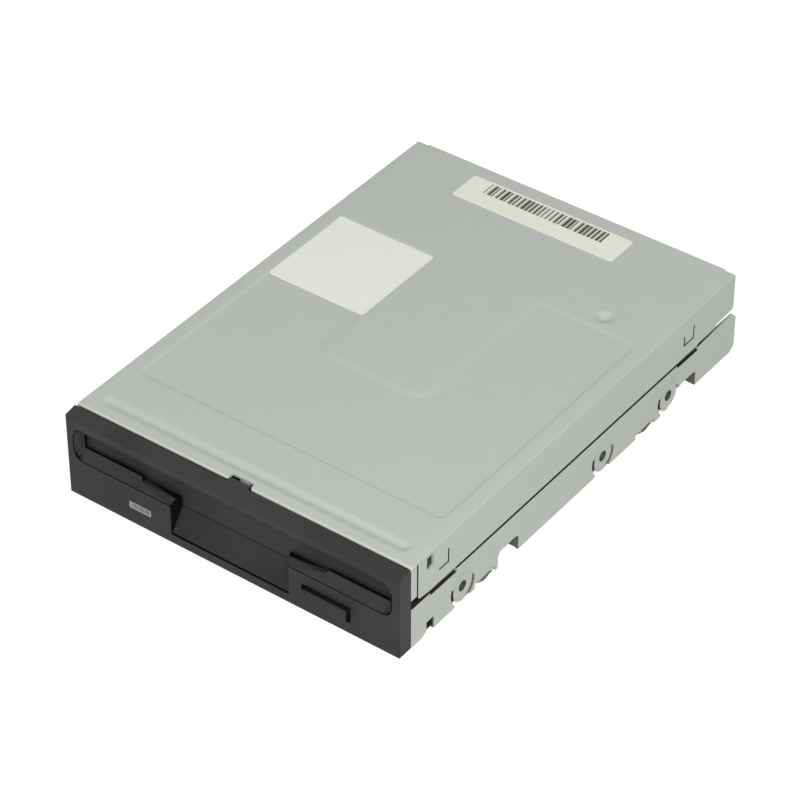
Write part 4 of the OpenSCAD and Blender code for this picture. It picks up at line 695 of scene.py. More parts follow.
def metal_finish(name, colour, stretch, gloss):
    """Drawn or turned metal."""
    inputs = {"Colour": (*colour, 1), "Stretch": stretch, "Gloss": gloss}
    start_finish(name, "drawn_marks", inputs, (0.15, 0.006), Metallic=1.0)


def paper_finish(name, colour, age):
    """Coated paper."""
    inputs = {"Colour": (*colour, 1), "Age": age}
    return start_finish(name, "paper_fibre", inputs, (0.1, 0.008))


def paint_hollow_shade(tree, shader, effect):
    """Paints shade: takes most of the colour and the gloss where the face attribute of painted shade is 1."""
    hollow = attribute(tree, "hollow")
    level = shader.inputs["Specular IOR Level"]
    tree.links.new(ramp(tree, hollow, 0.0, 1.0, level.default_value, 0.05), level)
    dark = mixed(tree, hollow, effect.outputs["Colour"], PAINTED_SHADE_BLACK)
    tree.links.new(dark, shader.inputs["Base Color"])


def add_bars(tree, shader, effect):
    """Darkens a band of the cream label with plain upright bars of chance widths.

    The band is where x and y lie between two corners. Each pitch along x holds one bar, which ends where the
    share of the pitch passes a chance value between its bounds, and then a thin line."""
    low, high, pitch = mm(-22.6, 131.5, 0), mm(15.2, 136.2, 0), 1.32 * MM
    narrow, wide = 0.2, 0.68
    thin_at, thin_half = 0.83, 0.07
    place = add(tree, "ShaderNodeSeparateXYZ", {0: object_place(tree)}).outputs
    along = maths(tree, "DIVIDE", place[0], pitch)
    step = maths(tree, "FLOOR", along)
    chance = add(tree, "ShaderNodeTexWhiteNoise", {"W": step}, noise_dimensions="1D").outputs[0]
    share = maths(tree, "FRACT", along)
    bar = maths(tree, "LESS_THAN", share, ramp(tree, chance, 0.0, 1.0, narrow, wide))
    off = maths(tree, "ABSOLUTE", maths(tree, "SUBTRACT", share, thin_at))
    inked = maths(tree, "MAXIMUM", bar, maths(tree, "LESS_THAN", off, thin_half))
    for k in range(2):
        inked = times(tree, inked, maths(tree, "GREATER_THAN", place[k], low[k]))
        inked = times(tree, inked, maths(tree, "LESS_THAN", place[k], high[k]))
    wear = ramp(tree, noise(tree, object_place(tree), 2500.0), 0.25, 0.5, 0.93, 1.0)
    printed = mixed(tree, times(tree, inked, wear), effect.outputs["Colour"], INK)
    tree.links.new(printed, shader.inputs["Base Color"])


def lens_finish(colour):
    """Lamp window: a pale border, and a mottled middle where the lamp's diffuser lies behind.

    The border is where the way to the nearest side of the window's box is under its width."""
    rim, border = 0.9 * MM, (0.4 * MM, 0.55 * MM)
    tree, shader, effect = plastic_finish("lens_plastic", colour, 0.1, 0.3, 1700.0, (0.3, 0.02), IOR=1.49)
    low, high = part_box("led_lens")
    place = add(tree, "ShaderNodeSeparateXYZ", {0: object_place(tree)}).outputs
    ways = []
    for k in (0, 2):
        off = maths(tree, "ABSOLUTE", maths(tree, "SUBTRACT", place[k], (low[k] + high[k]) / 2))
        ways.append(maths(tree, "SUBTRACT", (high[k] - low[k]) / 2 - rim, off))
    middle = ramp(tree, maths(tree, "MINIMUM", *ways), *border)
    blotch = ramp(tree, noise(tree, object_place(tree), 800.0, 3.0, 0.6), 0.35, 0.65, 0.25, 0.78)
    dim = scaled(tree, effect.outputs["Colour"], blotch)
    tree.links.new(mixed(tree, middle, effect.outputs["Colour"], dim), shader.inputs["Base Color"])


class DRIVE_OT_finishes(bpy.types.Operator):
    """Builds the effect groups and the materials, and puts one on every CAD node"""

    bl_idname = "drive.finishes"
    bl_label = "Finishes"

    def execute(self, context):
        for plain in list(bpy.data.materials):
            plain.name = "plain_" + plain.name
        make_zinc_bloom()
        make_mould_grain()
        make_drawn_marks()
        make_board_tracks()
        make_paper_fibre()
        colours = context.scene.drive_colours
        zinc_finish("galvanised_steel", colours.zinc)
        metal_finish("bright_steel", (0.62, 0.62, 0.60), (1, 0.2, 1), 0.28)
        # Black plastic gets painted shade on the faces marked as hollows.
        paint_hollow_shade(*plastic_finish("black_plastic", colours.black, Specular_IOR_Level=0.32))
        plastic_finish("grey_plastic", colours.flap, 0.1, 0.55, Specular_IOR_Level=0.3)
        plastic_finish("carriage_plastic", (0.02, 0.02, 0.022), 0.08, 0.42)
        plastic_finish("pale_plastic", (0.62, 0.60, 0.54), 0.05, 0.42, 3000.0, (0.15, 0.01))
        lens_finish(colours.lens)
        inputs = {"Colour": (*colours.board, 1), "Track": (0.03, 0.15, 0.07, 1)}
        start_finish("circuit_board", "board_tracks", inputs, (0.35, 0.03), Roughness=0.38)
        metal_finish("copper", (0.72, 0.30, 0.14), (1, 1, 4), 0.3)
        metal_finish("bronze", (0.48, 0.33, 0.17), (1, 1, 3), 0.42)
        metal_finish("gold_pins", (0.78, 0.58, 0.26), (1, 0.2, 1), 0.25)
        plastic_finish("ferrite", (0.03, 0.03, 0.033), 0.1, 0.55, 2500.0)
        metal_finish("motor_can", (0.52, 0.52, 0.50), (0.3, 1, 0.3), 0.36)
        plastic_finish("cable_film", (0.52, 0.30, 0.07), 0.04, 0.25, 900.0, (0.08, 0.01))
        paper_finish("paper_white", colours.paper, 0.04)
        add_bars(*paper_finish("paper_cream", colours.cream, 0.06))
        for piece in frame["nodes"].values():
            for slot in piece.material_slots:
                slot.material = bpy.data.materials[slot.material.name.removeprefix("plain_")]
        return {"FINISHED"}


class DRIVE_OT_stage(bpy.types.Operator):
    """Sets the camera, the pale floor, the even light and the soft key lamp"""

    bl_idname = "drive.stage"
    bl_label = "Stage"

    def execute(self, context):
        scene = context.scene
        stage = scene.drive_stage
        scene.view_settings.view_transform = "Standard"
        target = Vector((0.0, 0.05 * MM, 12.7 * MM))
        a, h = stage.azimuth, stage.elevation
        back = Vector((sin(a) * cos(h), -cos(a) * cos(h), sin(h)))
        right = Vector((0, 0, 1)).cross(back).normalized()
        up = back.cross(right)
        c, s = cos(stage.roll), sin(stage.roll)
        turned = Matrix((c * right + s * up, c * up - s * right, back)).transposed()
        camera = bpy.data.objects.new("camera", bpy.data.cameras.new("camera"))
        scene.collection.objects.link(camera)
        camera.matrix_world = Matrix.Translation(target + back * stage.distance) @ turned.to_4x4()
        camera.data.sensor_width = 36
        camera.data.lens = stage.focal
        camera.data.shift_x = -0.01204
        camera.data.shift_y = -0.02425
        scene.camera = camera
        self.light(scene, stage)
        self.floor(scene)
        return {"FINISHED"}

    def light(self, scene, stage):
        """Even world light, white to the camera and to reflections, and one large lamp."""
        towards, away = Vector((0.5, -0.55, 0.67)).normalized(), 0.9
        world = bpy.data.worlds.new("studio")
        scene.world = world
        world.use_nodes = True
        tree = world.node_tree
        path = add(tree, "ShaderNodeLightPath").outputs
        seen = maths(tree, "MAXIMUM", path["Is Camera Ray"], path["Is Glossy Ray"])
        seen = maths(tree, "MAXIMUM", seen, path["Is Transmission Ray"])
        background = tree.nodes["Background"]
        background.inputs["Color"].default_value = WHITE
        tree.links.new(ramp(tree, seen, 0.0, 1.0, stage.sky, 1.0), background.inputs["Strength"])
        lamp = bpy.data.lights.new("key", "AREA")
        lamp.shape = "DISK"
        lamp.size = 0.6
        lamp.energy = stage.key
        key = bpy.data.objects.new("key", lamp)
        scene.collection.objects.link(key)
        turned = towards.to_track_quat("Z", "Y").to_matrix().to_4x4()
        key.matrix_world = Matrix.Translation(towards * away) @ turned

    def floor(self, scene):
        """Wide pale floor under the lowest point, lifted to white for the camera, that keeps the shadow."""
        half, lines, under = 4, 9, 0.05 * MM
        to_camera, to_gloss = 0.65, 0.25
        grid = np.linspace(-half, half, lines)
        points = on_grid(grid, grid[:, None], CAD_BOX[0].z - under)
        mesh = bpy.data.meshes.new("floor")
        faces = cells(lines, lines).reshape(-1, 4)
        mesh.from_pydata(points.reshape(-1, 3).tolist(), [], faces.tolist())
        floor = bpy.data.objects.new("floor", mesh)
        scene.collection.objects.link(floor)
        material = bpy.data.materials.new("floor_paper")
        material.use_nodes = True
        tree = material.node_tree
        shader = tree.nodes["Principled BSDF"]
        shader.inputs["Base Color"].default_value = (0.64, 0.64, 0.64, 1)
        shader.inputs["Roughness"].default_value = 0.9
        shader.inputs["Specular IOR Level"].default_value = 0.1
        shader.inputs["Emission Color"].default_value = WHITE
        path = add(tree, "ShaderNodeLightPath").outputs
        seen = times(tree, path["Is Camera Ray"], to_camera)
        mirrored = times(tree, path["Is Glossy Ray"], to_gloss)
        tree.links.new(plus(tree, seen, mirrored), shader.inputs["Emission Strength"])
        below = add(tree, "ShaderNodeNewGeometry").outputs["Backfacing"]
        clear = add(tree, "ShaderNodeBsdfTransparent").outputs[0]
        sides = add(tree, "ShaderNodeMixShader", {0: below, 1: shader.outputs[0], 2: clear})
        tree.links.new(sides.outputs[0], tree.nodes["Material Output"].inputs["Surface"])
        mesh.materials.append(material)


def roof_height(x, y, sizes):
    """Height of the cover's top at x and y, in metres: the flat top, less panel, groove and dimple.

    The panel is a round-cornered rectangle, sunk by an eased step over the wall's run, less the same step
    over a gentler run round the tongue that stays up in its rear. Behind the middle, the way to the rear is
    drawn in, which makes the rear wall gentler. The groove is a capsule whose section is a V with a round
    bottom and round shoulders. The dimple falls as the square of one less the square of the radius."""
    drawn, tongue_end = 0.55, 20 * MM
    bottom, straight = 0.16, 0.75
    side, inner, corner = HALF_W - PANEL_INSET * MM, TONGUE_HALF * MM, PANEL_CORNER * MM
    front, middle, rear = (FRONT + v * MM for v in PANEL_YS)
    pulled = np.where(y > middle, middle + drawn * (y - middle), y)
    sunk = round_box(x, pulled, (-side, front), (side, middle + drawn * (rear - middle)), corner)
    tongue = round_box(x, y, (-inner, middle), (inner, rear + tongue_end), corner)
    panel = sizes.panel_depth * smoothstep(-sunk / sizes.press_wall) * smoothstep(tongue / sizes.inner_wall)
    past_end = np.maximum(np.abs(x) - GROOVE_END * MM, 0)
    off = np.hypot(past_end, y - FRONT - GROOVE_Y * MM) / (GROOVE_HALF * MM)
    fall = np.clip((np.hypot(off, bottom) - bottom) / (np.hypot(1, bottom) - bottom), 0, 1)
    groove = sizes.groove_depth * (straight * (1 - fall) + (1 - straight) * smoothstep(1 - fall))
    radius = np.hypot(x - (HALF_W - DIMPLE_INSET * MM), y - FRONT - DIMPLE_Y * MM)
    dimple = sizes.dimple_depth * (1 - np.clip(radius / (DIMPLE_R * MM), 0, 1) ** 2) ** 2
    return ROOF_Z - panel - groove - dimple


class DRIVE_OT_cover(bpy.types.Operator):
    """Presses the cover: roof with groove, panel and dimple, bent skirts with lanced tongues, rear flange"""

    bl_idname = "drive.cover"
    bl_label = "Cover"
    skirt, bent, roof = 0, 1, 2
    arc = np.linspace(0, pi / 2, 6)

    def execute(self, context):
        sizes = context.scene.drive_sizes
        reach, flange_foot = 0.5, 12.6
        top, bend, depth = ROOF_Z / MM, sizes.bend / MM, COVER_D / MM + reach
        foot_line = self.foot_line(depth, bend)
        xs = self.across(bend)
        ys = self.along(foot_line[0])
        lines = np.array([*SKIRT_LINES, top - bend])
        turn = self.arc[1:]
        flange = np.array([2.5, 5.5, 9.0, top - flange_foot - bend])
        rows = np.concatenate([ys, depth - bend + bend * np.sin(turn), np.full(len(flange), depth)])
        drop = np.concatenate([np.zeros(len(ys)), bend * (1 - np.cos(turn)), bend + flange])
        points, kinds = self.grid(sizes, xs, lines, rows, drop, np.interp(rows, *foot_line))
        keep = self.kept(xs, lines, rows, kinds, len(ys))
        near = np.clip(1 - rows / FRONT_ROUND, 0, 1)[:, None, None]
        ease = FRONT_ROUND * MM * (1 - np.sqrt(1 - near ** 2))
        ease = ease - self.sharpened(sizes, xs, lines, rows, len(ys))
        shape = joined(thick_sheet(points, sizes.sheet, keep, ease), self.tab(sizes))
        cover = add_piece("cover_pressing", shape, "top_cover", "galvanised_steel", ["top_cover"])
        self.paint_slit_shade_and_highlight(cover.data)
        return {"FINISHED"}

    def foot_line(self, depth, bend):
        """Places along the skirt and heights of its foot there: it steps up at the front and the rear."""
        front = [(0, 15), (2.2, 15), (2.75, 14.1), (3.4, 13.5), (7.3, 13.1)]
        rear = [(123.5, 13.1), (124.3, 13.45), (131.8, 13.45), (132.9, 14.4)]
        end = [(depth - 2.5, 14.4), (depth - 1.1, 14.6), (depth - bend, 15.2)]
        return np.array(front + rear + end).T

    def across(self, bend):
        """Places across the roof, close together over the pressings' walls and the notch's corners."""
        fine, finest, coarse = 0.3, 0.1, 2.2
        half = HALF_W / MM
        walls = [(half - 7.6, half - 3.6), (13.5, 18.2)]
        bands = [(a, b, fine) for a, b in walls] + [(-b, -a, fine) for a, b in walls]
        bands.append((half - 20.5, half - 13.9, fine))
        bands.append((NOTCH_X[0] - NOTCH_CORNER, NOTCH_X[0], finest))
        bands.append((NOTCH_X[1], NOTCH_X[1] + NOTCH_CORNER, finest))
        return graded([bend - half, *NOTCH_X, *TAB_X, half - bend], bands, coarse)

    def along(self, feet):
        """Places along the roof, through every cut and step of the foot, closer over the pressings."""
        fine, coarse = 0.3, 2.4
        edge = [0, 0.03, 0.1, 0.2, FRONT_ROUND, NOTCH_DEPTH]
        cuts = [y for cut in (*SLITS, WINDOW) for y in cut[:2]]
        pressed = [(3.0, 7.4), (17.4, 21.2), (49.4, 55.9), (97.2, 102.4), (102.6, 109.0)]
        return graded([*edge, *cuts, *feet], [(a, b, fine) for a, b in pressed], coarse)

    def grid(self, sizes, xs, lines, rows, drop, foot):
        """Points of the sheet: columns climb the left skirt, round the bend, cross the roof and fall again.

        A skirt's lowest column follows the foot line. A bend is a quarter circle. The roof's rows go on round
        the rear bend and down the flange, by the drop. Beside the notch, the front edge runs in along a
        quarter circle. The second result says for each column of cells which kind it is."""
        half, top, bend = HALF_W / MM, ROOF_Z / MM, sizes.bend / MM
        arc = self.arc[1:-1]
        count = len(rows)
        left_x = np.concatenate([np.full(len(lines) + 1, -half), bend - half - bend * np.cos(arc)])
        left_z = np.concatenate([lines, top - bend + bend * np.sin(arc)])
        left_z = np.column_stack([foot, np.broadcast_to(left_z, (count, len(left_z)))])
        x = np.concatenate([left_x, xs, -left_x[::-1]])
        roof = roof_height(xs[None] * MM, FRONT + rows[:, None] * MM, sizes) / MM - drop[:, None]
        z = np.column_stack([left_z, roof, left_z[:, ::-1]])
        runs = (len(lines), len(arc) + 1, len(xs) - 1, len(arc) + 1, len(lines))
        kinds = np.repeat([self.skirt, self.bent, self.roof, self.bent, self.skirt], runs)
        middle, opening, r = sum(NOTCH_X) / 2, (NOTCH_X[1] - NOTCH_X[0]) / 2, NOTCH_CORNER
        beside = np.clip(np.abs(x - middle) - opening, 0, r)
        corner = np.where(beside > 0, r - np.sqrt(r * r - (r - beside) ** 2), r)
        corner = np.where(np.abs(x - middle) < opening - 0.01, 0, corner)
        y = rows[:, None] + corner * np.clip(1 - rows[:, None] / NOTCH_DEPTH, 0, 1)
        return on_grid(x * MM, FRONT + y * MM, z * MM), kinds

    def sharpened(self, sizes, xs, lines, rows, flat_rows):
        """How far a bend's outer points stand out from its circle, so that the corner looks tight.

        The outer section is a fourth-power oval: its radius is the bend's over the fourth root of the sum of
        the fourth powers of the turn's cosine and sine."""
        arc, turn = self.arc[1:-1], self.arc[1:]
        flat = np.zeros(len(lines) + 1)
        side = np.concatenate([flat, arc, np.zeros(len(xs)), arc[::-1], flat])
        back = np.zeros(len(rows))
        back[flat_rows:flat_rows + len(turn)] = turn
        out = [sizes.bend * ((np.cos(a) ** 4 + np.sin(a) ** 4) ** -0.25 - 1) for a in (side, back)]
        return np.maximum(out[0][None, :], out[1][:, None])[..., None]

    def kept(self, xs, lines, rows, kinds, flat_rows):
        """Cells of the sheet that stay: all but slits, windows, the front notch and the open rear corners."""
        lowest = 14.0
        y = (rows[1:] + rows[:-1])[:, None] / 2
        levels = np.concatenate([[lowest], (lines[1:] + lines[:-1]) / 2])
        skirt, roof = kinds == self.skirt, kinds == self.roof
        x, z = np.zeros((2, len(kinds)))
        x[roof] = (xs[1:] + xs[:-1]) / 2
        z[skirt] = np.concatenate([levels, levels[::-1]])
        cut = roof & (y < NOTCH_DEPTH) & between(x, *NOTCH_X)
        for first, last, low, high in (*SLITS, WINDOW):
            cut |= skirt & between(y, first, last) & between(z, low, high)
        late = np.arange(len(rows) - 1)[:, None] >= flat_rows - 1
        return ~(cut | ~roof & late)

    def tab(self, sizes):
        """Tongue behind the front notch: a strip that leaves the roof, turns a quarter circle and hangs."""
        r, start, under, thin = 0.6, 2.6, 0.1, 0.75
        run = np.concatenate([[3.0, 2.7], start - r * np.sin(self.arc), [2.0, 2.0]])[:, None]
        fall = np.concatenate([[under, under], under + r * (1 - np.cos(self.arc)), [1.4, 2.1]])[:, None]
        x = np.linspace(*TAB_X[::-1], 5)
        return thick_sheet(on_grid(x * MM, FRONT + run * MM, ROOF_Z - fall * MM), sizes.sheet * thin)

    def paint_slit_shade_and_highlight(self, mesh):
        """Paints shade, with the dark of raw cut steel, on the walls of the skirts' slits,
        and a highlight on the roof's front edge.
        """
        spare, wall, edge = 0.05, 0.7, 0.3
        normal, x, y, z = face_places(mesh)
        cuts = [between(y, a - spare, b + spare) & between(z, c - spare, d + spare) for a, b, c, d in SLITS]
        across = (np.abs(normal[:, 0]) < 0.3) & (np.abs(x) > HALF_W / MM - wall)
        set_mark(mesh, "raw_edge", np.any(cuts, axis=0) & across)
        set_mark(mesh, "bright_edge", (y < edge) & (z > ROOF_Z / MM - wall))


class DRIVE_OT_mouldings(bpy.types.Operator):
    """Rounds the edges of the bezel, the flap and the folded frame, and adds their small fittings"""

    bl_idname = "drive.mouldings"
    bl_label = "Bezel, flap and frame"

    def execute(self, context):
        edge = context.scene.drive_sizes.mould_edge / MM
        flap_edge, frame_edge = edge * 0.6, 0.12
        mouth, wall_x = 0.5, 50
        slot_ramps = ((45.6, -4.6, 11.8), (48.9, -2.4, 22.3))
        base_tabs = ((48, 26, -1), (51, 105, 1.3))
        # The bezel's inner walls get painted shade.
        rounded_copy("front_bezel", edge, "black_plastic", mark_painted_shade, slot_ramps)
        rounded_copy("slot_flap", flap_edge, "grey_plastic")
        # The ledge and the catches are painted black all over as shade.
        dark = joined(self.ledge(), self.catch(1), self.catch(-1))
        dark = add_piece("bezel_ledge_and_catches", dark, "front_bezel", "black_plastic", sharp=50).data
        set_mark(dark, "hollow", np.ones(len(dark.polygons)))
        # The frame's walls get painted shade, mixed with the dark of raw cut edges.
        rounded_copy("main_frame", frame_edge, "galvanised_steel", mark_shade_and_raw_edges, base_tabs)
        holes = [(side, y) for side in (-1, 1) for y in SIDE_HOLES]
        bores = self.on_frame("bore_threads", [self.thread(*hole) for hole in holes])
        depth = HALF_W / MM - np.abs(face_places(bores)[1])
        # Painted shade inside the bores, a little darker at the mouth.
        set_mark(bores, "raw_edge", np.where(depth < mouth, 1.0, 0.9))
        feet = [self.lobe(side, y) for side in (-1, 1) for y in LOBES]
        rims = self.on_frame("base_lobes", feet + [self.backing(*hole) for hole in holes])
        # Painted shade: the backings black and the lobes nearly so, as the shade that they stand in.
        set_mark(rims, "raw_edge", np.where(np.abs(face_places(rims)[1]) < wall_x, 1.0, 0.8))
        self.on_frame("boss_corners", [self.corner(*hole) for hole in holes])
        return {"FINISHED"}

    def on_frame(self, name, shapes):
        """One piece of several shapes on the frame; gives its mesh."""
        return add_piece(name, joined(*shapes), "main_frame", "galvanised_steel", sharp=25).data

    def ledge(self):
        """Flat bar behind the bezel's top, under the cover's front edge, painted black as the shadow in the
        gap.
        """
        return soft_block(mm(-49.3, -0.5, 23.8), mm(49.3, 1.0, 24.4), 0.3, 0.1, 3)

    def catch(self, side):
        """Bezel catch that fills the hook notch low in a side wall, painted black as the shade in the notch.
        """
        ends = sorted((side * 49.5, side * 50.45))
        return soft_block(mm(ends[0], 6.35, 0.9), mm(ends[1], 8.85, 3.6), 0.2, 0.2, side)

    def lobe(self, side, y):
        """Round foot of a base tab: the lower half of an oval, hung from a chord that climbs to the rear."""
        half, fall, chord, climb = 2.1, 1.4, 1.65, 0.04
        turn = np.linspace(pi, tau, 13)
        across = half * np.cos(turn)
        outline = np.stack([y + across, chord + climb * across + fall * np.sin(turn)], -1)
        return self.plate(side, outline, 50.1, 50.82)

    def corner(self, side, boss):
        """Corner of the wall in front of a boss: it meets the slit's outer side."""
        outline = [(-5.6, 0.02), (-3.95, 0.02), (-3.55, 0.2), (-3.34, 0.62), (-3.86, 1.12), (-4.41, 1.84),
                   (-5.6, 2.0)]
        return self.plate(side, np.array(outline) + [boss, 0], 49.85, 50.79)

    def backing(self, side, boss):
        """Strip of a ring behind the slit in front of a boss, painted dark as the shade seen through the
        slit.
        """
        inner, outer = 3.9, 5.4
        turn = np.radians(np.linspace(160, 231, 9))
        ring = np.stack([np.cos(turn), np.sin(turn)], -1)
        outline = np.concatenate([inner * ring, outer * ring[::-1]]) + [boss, SIDE_HOLE_Z]
        return self.plate(side, outline, 49.6, 49.85)

    def plate(self, side, outline, low, high):
        """Flat plate on one side, from x low to x high, with the outline given as y and z."""
        count = len(outline)
        x = side * np.repeat([low, high], count)
        points = np.column_stack([x, np.tile(outline, (2, 1))]) * MM + mm(0, 0, 0)
        ring = np.arange(count)
        after = np.roll(ring, -1)
        walls = np.stack([ring, after, after + count, ring + count], -1)
        return points, [*walls[:, ::side], ring[::-side], ring[::side] + count]

    def thread(self, side, y):
        """Thread that lines a side bore: a thin tube whose inner radius is a triangle wave along a helix.

        The wave's phase is the way along the bore over the pitch, less the turn over a full turn. Rows go out
        along the inner face, over the run-in and back along the outer face."""
        pitch, outer, ridge, wall = 0.5 * MM, 1.25 * MM, 0.16 * MM, 0.02 * MM
        face = HALF_W - 0.25 * MM
        mouth = [face + 0.03 * MM, face + 0.005 * MM, face + 0.005 * MM]
        flare = np.array([1.5 * MM, 1.52 * MM, outer, outer])
        turn = np.linspace(0, tau, 28, endpoint=False)
        run = np.linspace(HALF_W - 2.1 * MM, HALF_W - 0.35 * MM, 40)
        phase = (run[:, None] / pitch - turn[None] / tau) % 1
        inner = outer - wall - ridge * (1 - np.abs(2 * phase - 1))
        back = np.broadcast_to(flare[:, None], (len(flare), len(turn)))
        radius = np.concatenate([inner, back, inner[:1]])
        x = np.concatenate([run, mouth, run[:1], run[:1]])[:, None]
        middle = mm(0, y, SIDE_HOLE_Z)
        points = on_grid(side * x, middle[1] + radius * np.cos(turn), middle[2] + radius * np.sin(turn))
        faces = cells(len(points), len(turn), wrap=True).reshape(-1, 4)
        return points.reshape(-1, 3), faces[:, ::side].tolist()


class DRIVE_OT_button(bpy.types.Operator):
    """Shapes the eject button and the lamp window, with round edges"""

    bl_idname = "drive.button"
    bl_label = "Button and lamp window"

    def execute(self, context):
        low, high = corners("eject_button")
        shape = soft_block(low, high, 0.8, 0.35, -2)
        key = add_piece("eject_key", shape, "eject_button", "black_plastic", ["eject_button"], 50).data
        # Painted shade on the button's top, sides and back; only its front keeps the plain colour.
        set_mark(key, "hollow", 0.8 * (face_places(key)[0][:, 1] > -0.35))
        low, high = corners("led_lens")
        inset = np.array([0.9 * MM, 0, 0.9 * MM])
        bar = soft_block(low + inset, high - inset, 0.2, 0.1, -2, crown=-0.05)
        low[1], high[1] = FRONT, FRONT + 0.9 * MM
        rim = soft_block(low, high, 0.3, 0.1, -2)
        add_piece("lamp_window", joined(bar, rim), "led_lens", "lens_plastic", ["led_lens"], 50)
        return {"FINISHED"}


class DRIVE_OT_labels(bpy.types.Operator):
    """Lays the two paper labels on the pressed roof"""

    bl_idname = "drive.labels"
    bl_label = "Labels"
    reach = {"white_label": ((-0.3, 0.1), (0.35, 0.75)), "cream_label": ((-0.5, -0.35), (0.45, 0.1))}

    def execute(self, context):
        sizes = context.scene.drive_sizes
        for node, finish in (("white_label", "paper_white"), ("cream_label", "paper_cream")):
            add_piece(node + "_sheet", self.sheet(node, sizes), node, finish, [node], 60)
        return {"FINISHED"}

    def sheet(self, node, sizes):
        """Rounded rings from the edge to the middle, at the roof's height plus the paper's thickness.

        Ring k is the label's outline drawn in by the k-th inset. The first two are the paper's edge, and the
        last one is filled by one face."""
        insets = np.array([0.0, 0.0, 0.05, 0.35, 0.65, 0.95, 1.4, 2.2, 3.4, 4.8]) * MM
        edge_share, thin = 0.7, 0.9
        low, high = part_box(node)
        ends = np.array([low.xy, high.xy]) + np.array(self.reach[node]) * MM
        middle, half = ends.mean(0), (ends[1] - ends[0]) / 2
        rings = []
        for inset in insets:
            flat = rounded_outline(*(half - inset), max(sizes.label_corner - inset, 0.1 * MM), 10)
            rings.append(self.densified(flat) + middle)
        rings = np.stack(rings)
        rise = np.ones((len(insets), 1))
        rise[:2, 0] = 0.0, edge_share
        z = roof_height(rings[..., 0], rings[..., 1], sizes) + rise * (high.z - low.z) * thin
        return close_tube(np.concatenate([rings, z[..., None]], -1))

    def densified(self, outline, pieces=14):
        """The outline with its long straight sides cut into equal steps, the same number for each ring."""
        after = np.roll(outline, -1, axis=0)
        sides = len(outline) // 4
        share = np.linspace(0, 1, pieces, endpoint=False)[:, None]
        parts = []
        for k in range(4):
            run = outline[k * sides:(k + 1) * sides]
            parts += [run[:-1], run[-1] + share * (after[(k + 1) * sides - 1] - run[-1])]
        return np.concatenate(parts)


def coil(r, wire, pitch, turns, leg, turned, place, mirrored=False):
    """Wound wire: a helix about the third axis with a straight leg at each end, turned and put in place.

    A point of the helix is r times the cosine and sine of the turn, and the pitch times the turns so far."""
    turn = np.linspace(0, tau * turns, 28 * turns + 1)
    helix = np.column_stack([r * np.cos(turn), r * np.sin(turn), pitch * turn / tau])
    share = np.linspace(0, 1, 6)[:-1, None]
    start = [r, -leg, 0] + share * (helix[0] - [r, -leg, 0])
    end = helix[-1] + (1 - share[::-1]) * (np.array([r, leg, pitch * turns]) - helix[-1])
    rings = tube(np.concatenate([start, helix, end]) * MM, wire / 2 * MM, 10)
    placed = rings @ np.array(turned, float).T + place
    if mirrored:
        placed = (placed * [-1, 1, 1])[:, ::-1]
    return close_tube(placed)


class DRIVE_OT_springs(bpy.types.Operator):
    """Winds the springs of the eject slide, the flap, the shutter lever and the head arm"""

    bl_idname = "drive.springs"
    bl_label = "Springs"

    def execute(self, context):
        along = ((0, 1, 0), (0, 0, 1), (1, 0, 0))
        across = ((0, 0, 1), (0, 1, 0), (-1, 0, 0))
        leg, half_wire = 3.9, 0.25
        pull = (1.8, 2 * half_wire, 1.1, 14, leg, along)
        low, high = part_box("eject_springs")
        place = np.array([high.x - leg * MM, low.y + half_wire * MM, (low.z + high.z) / 2])
        pair = joined(coil(*pull, place), coil(*pull, place, mirrored=True))
        add_piece("eject_spring_coils", pair, "eject_springs", "bright_steel", ["eject_springs"], 80)
        for node, values in (("flap_spring", (0.85, 0.3, 0.85, 4, 0.6, across)),
                             ("arm_spring", (1.6, 0.4, 0.9, 2, 1.2, across)),
                             ("lever_spring", (3.3, 0.45, 0.9, 2, 4.0, np.eye(3)))):
            low, high = corners(node)
            points, faces = coil(*values, np.zeros(3))
            points = points + ((low + high) / 2 - (points.min(0) + points.max(0)) / 2)
            add_piece(node + "_coil", (points, faces), node, "bright_steel", [node], 80)
        return {"FINISHED"}


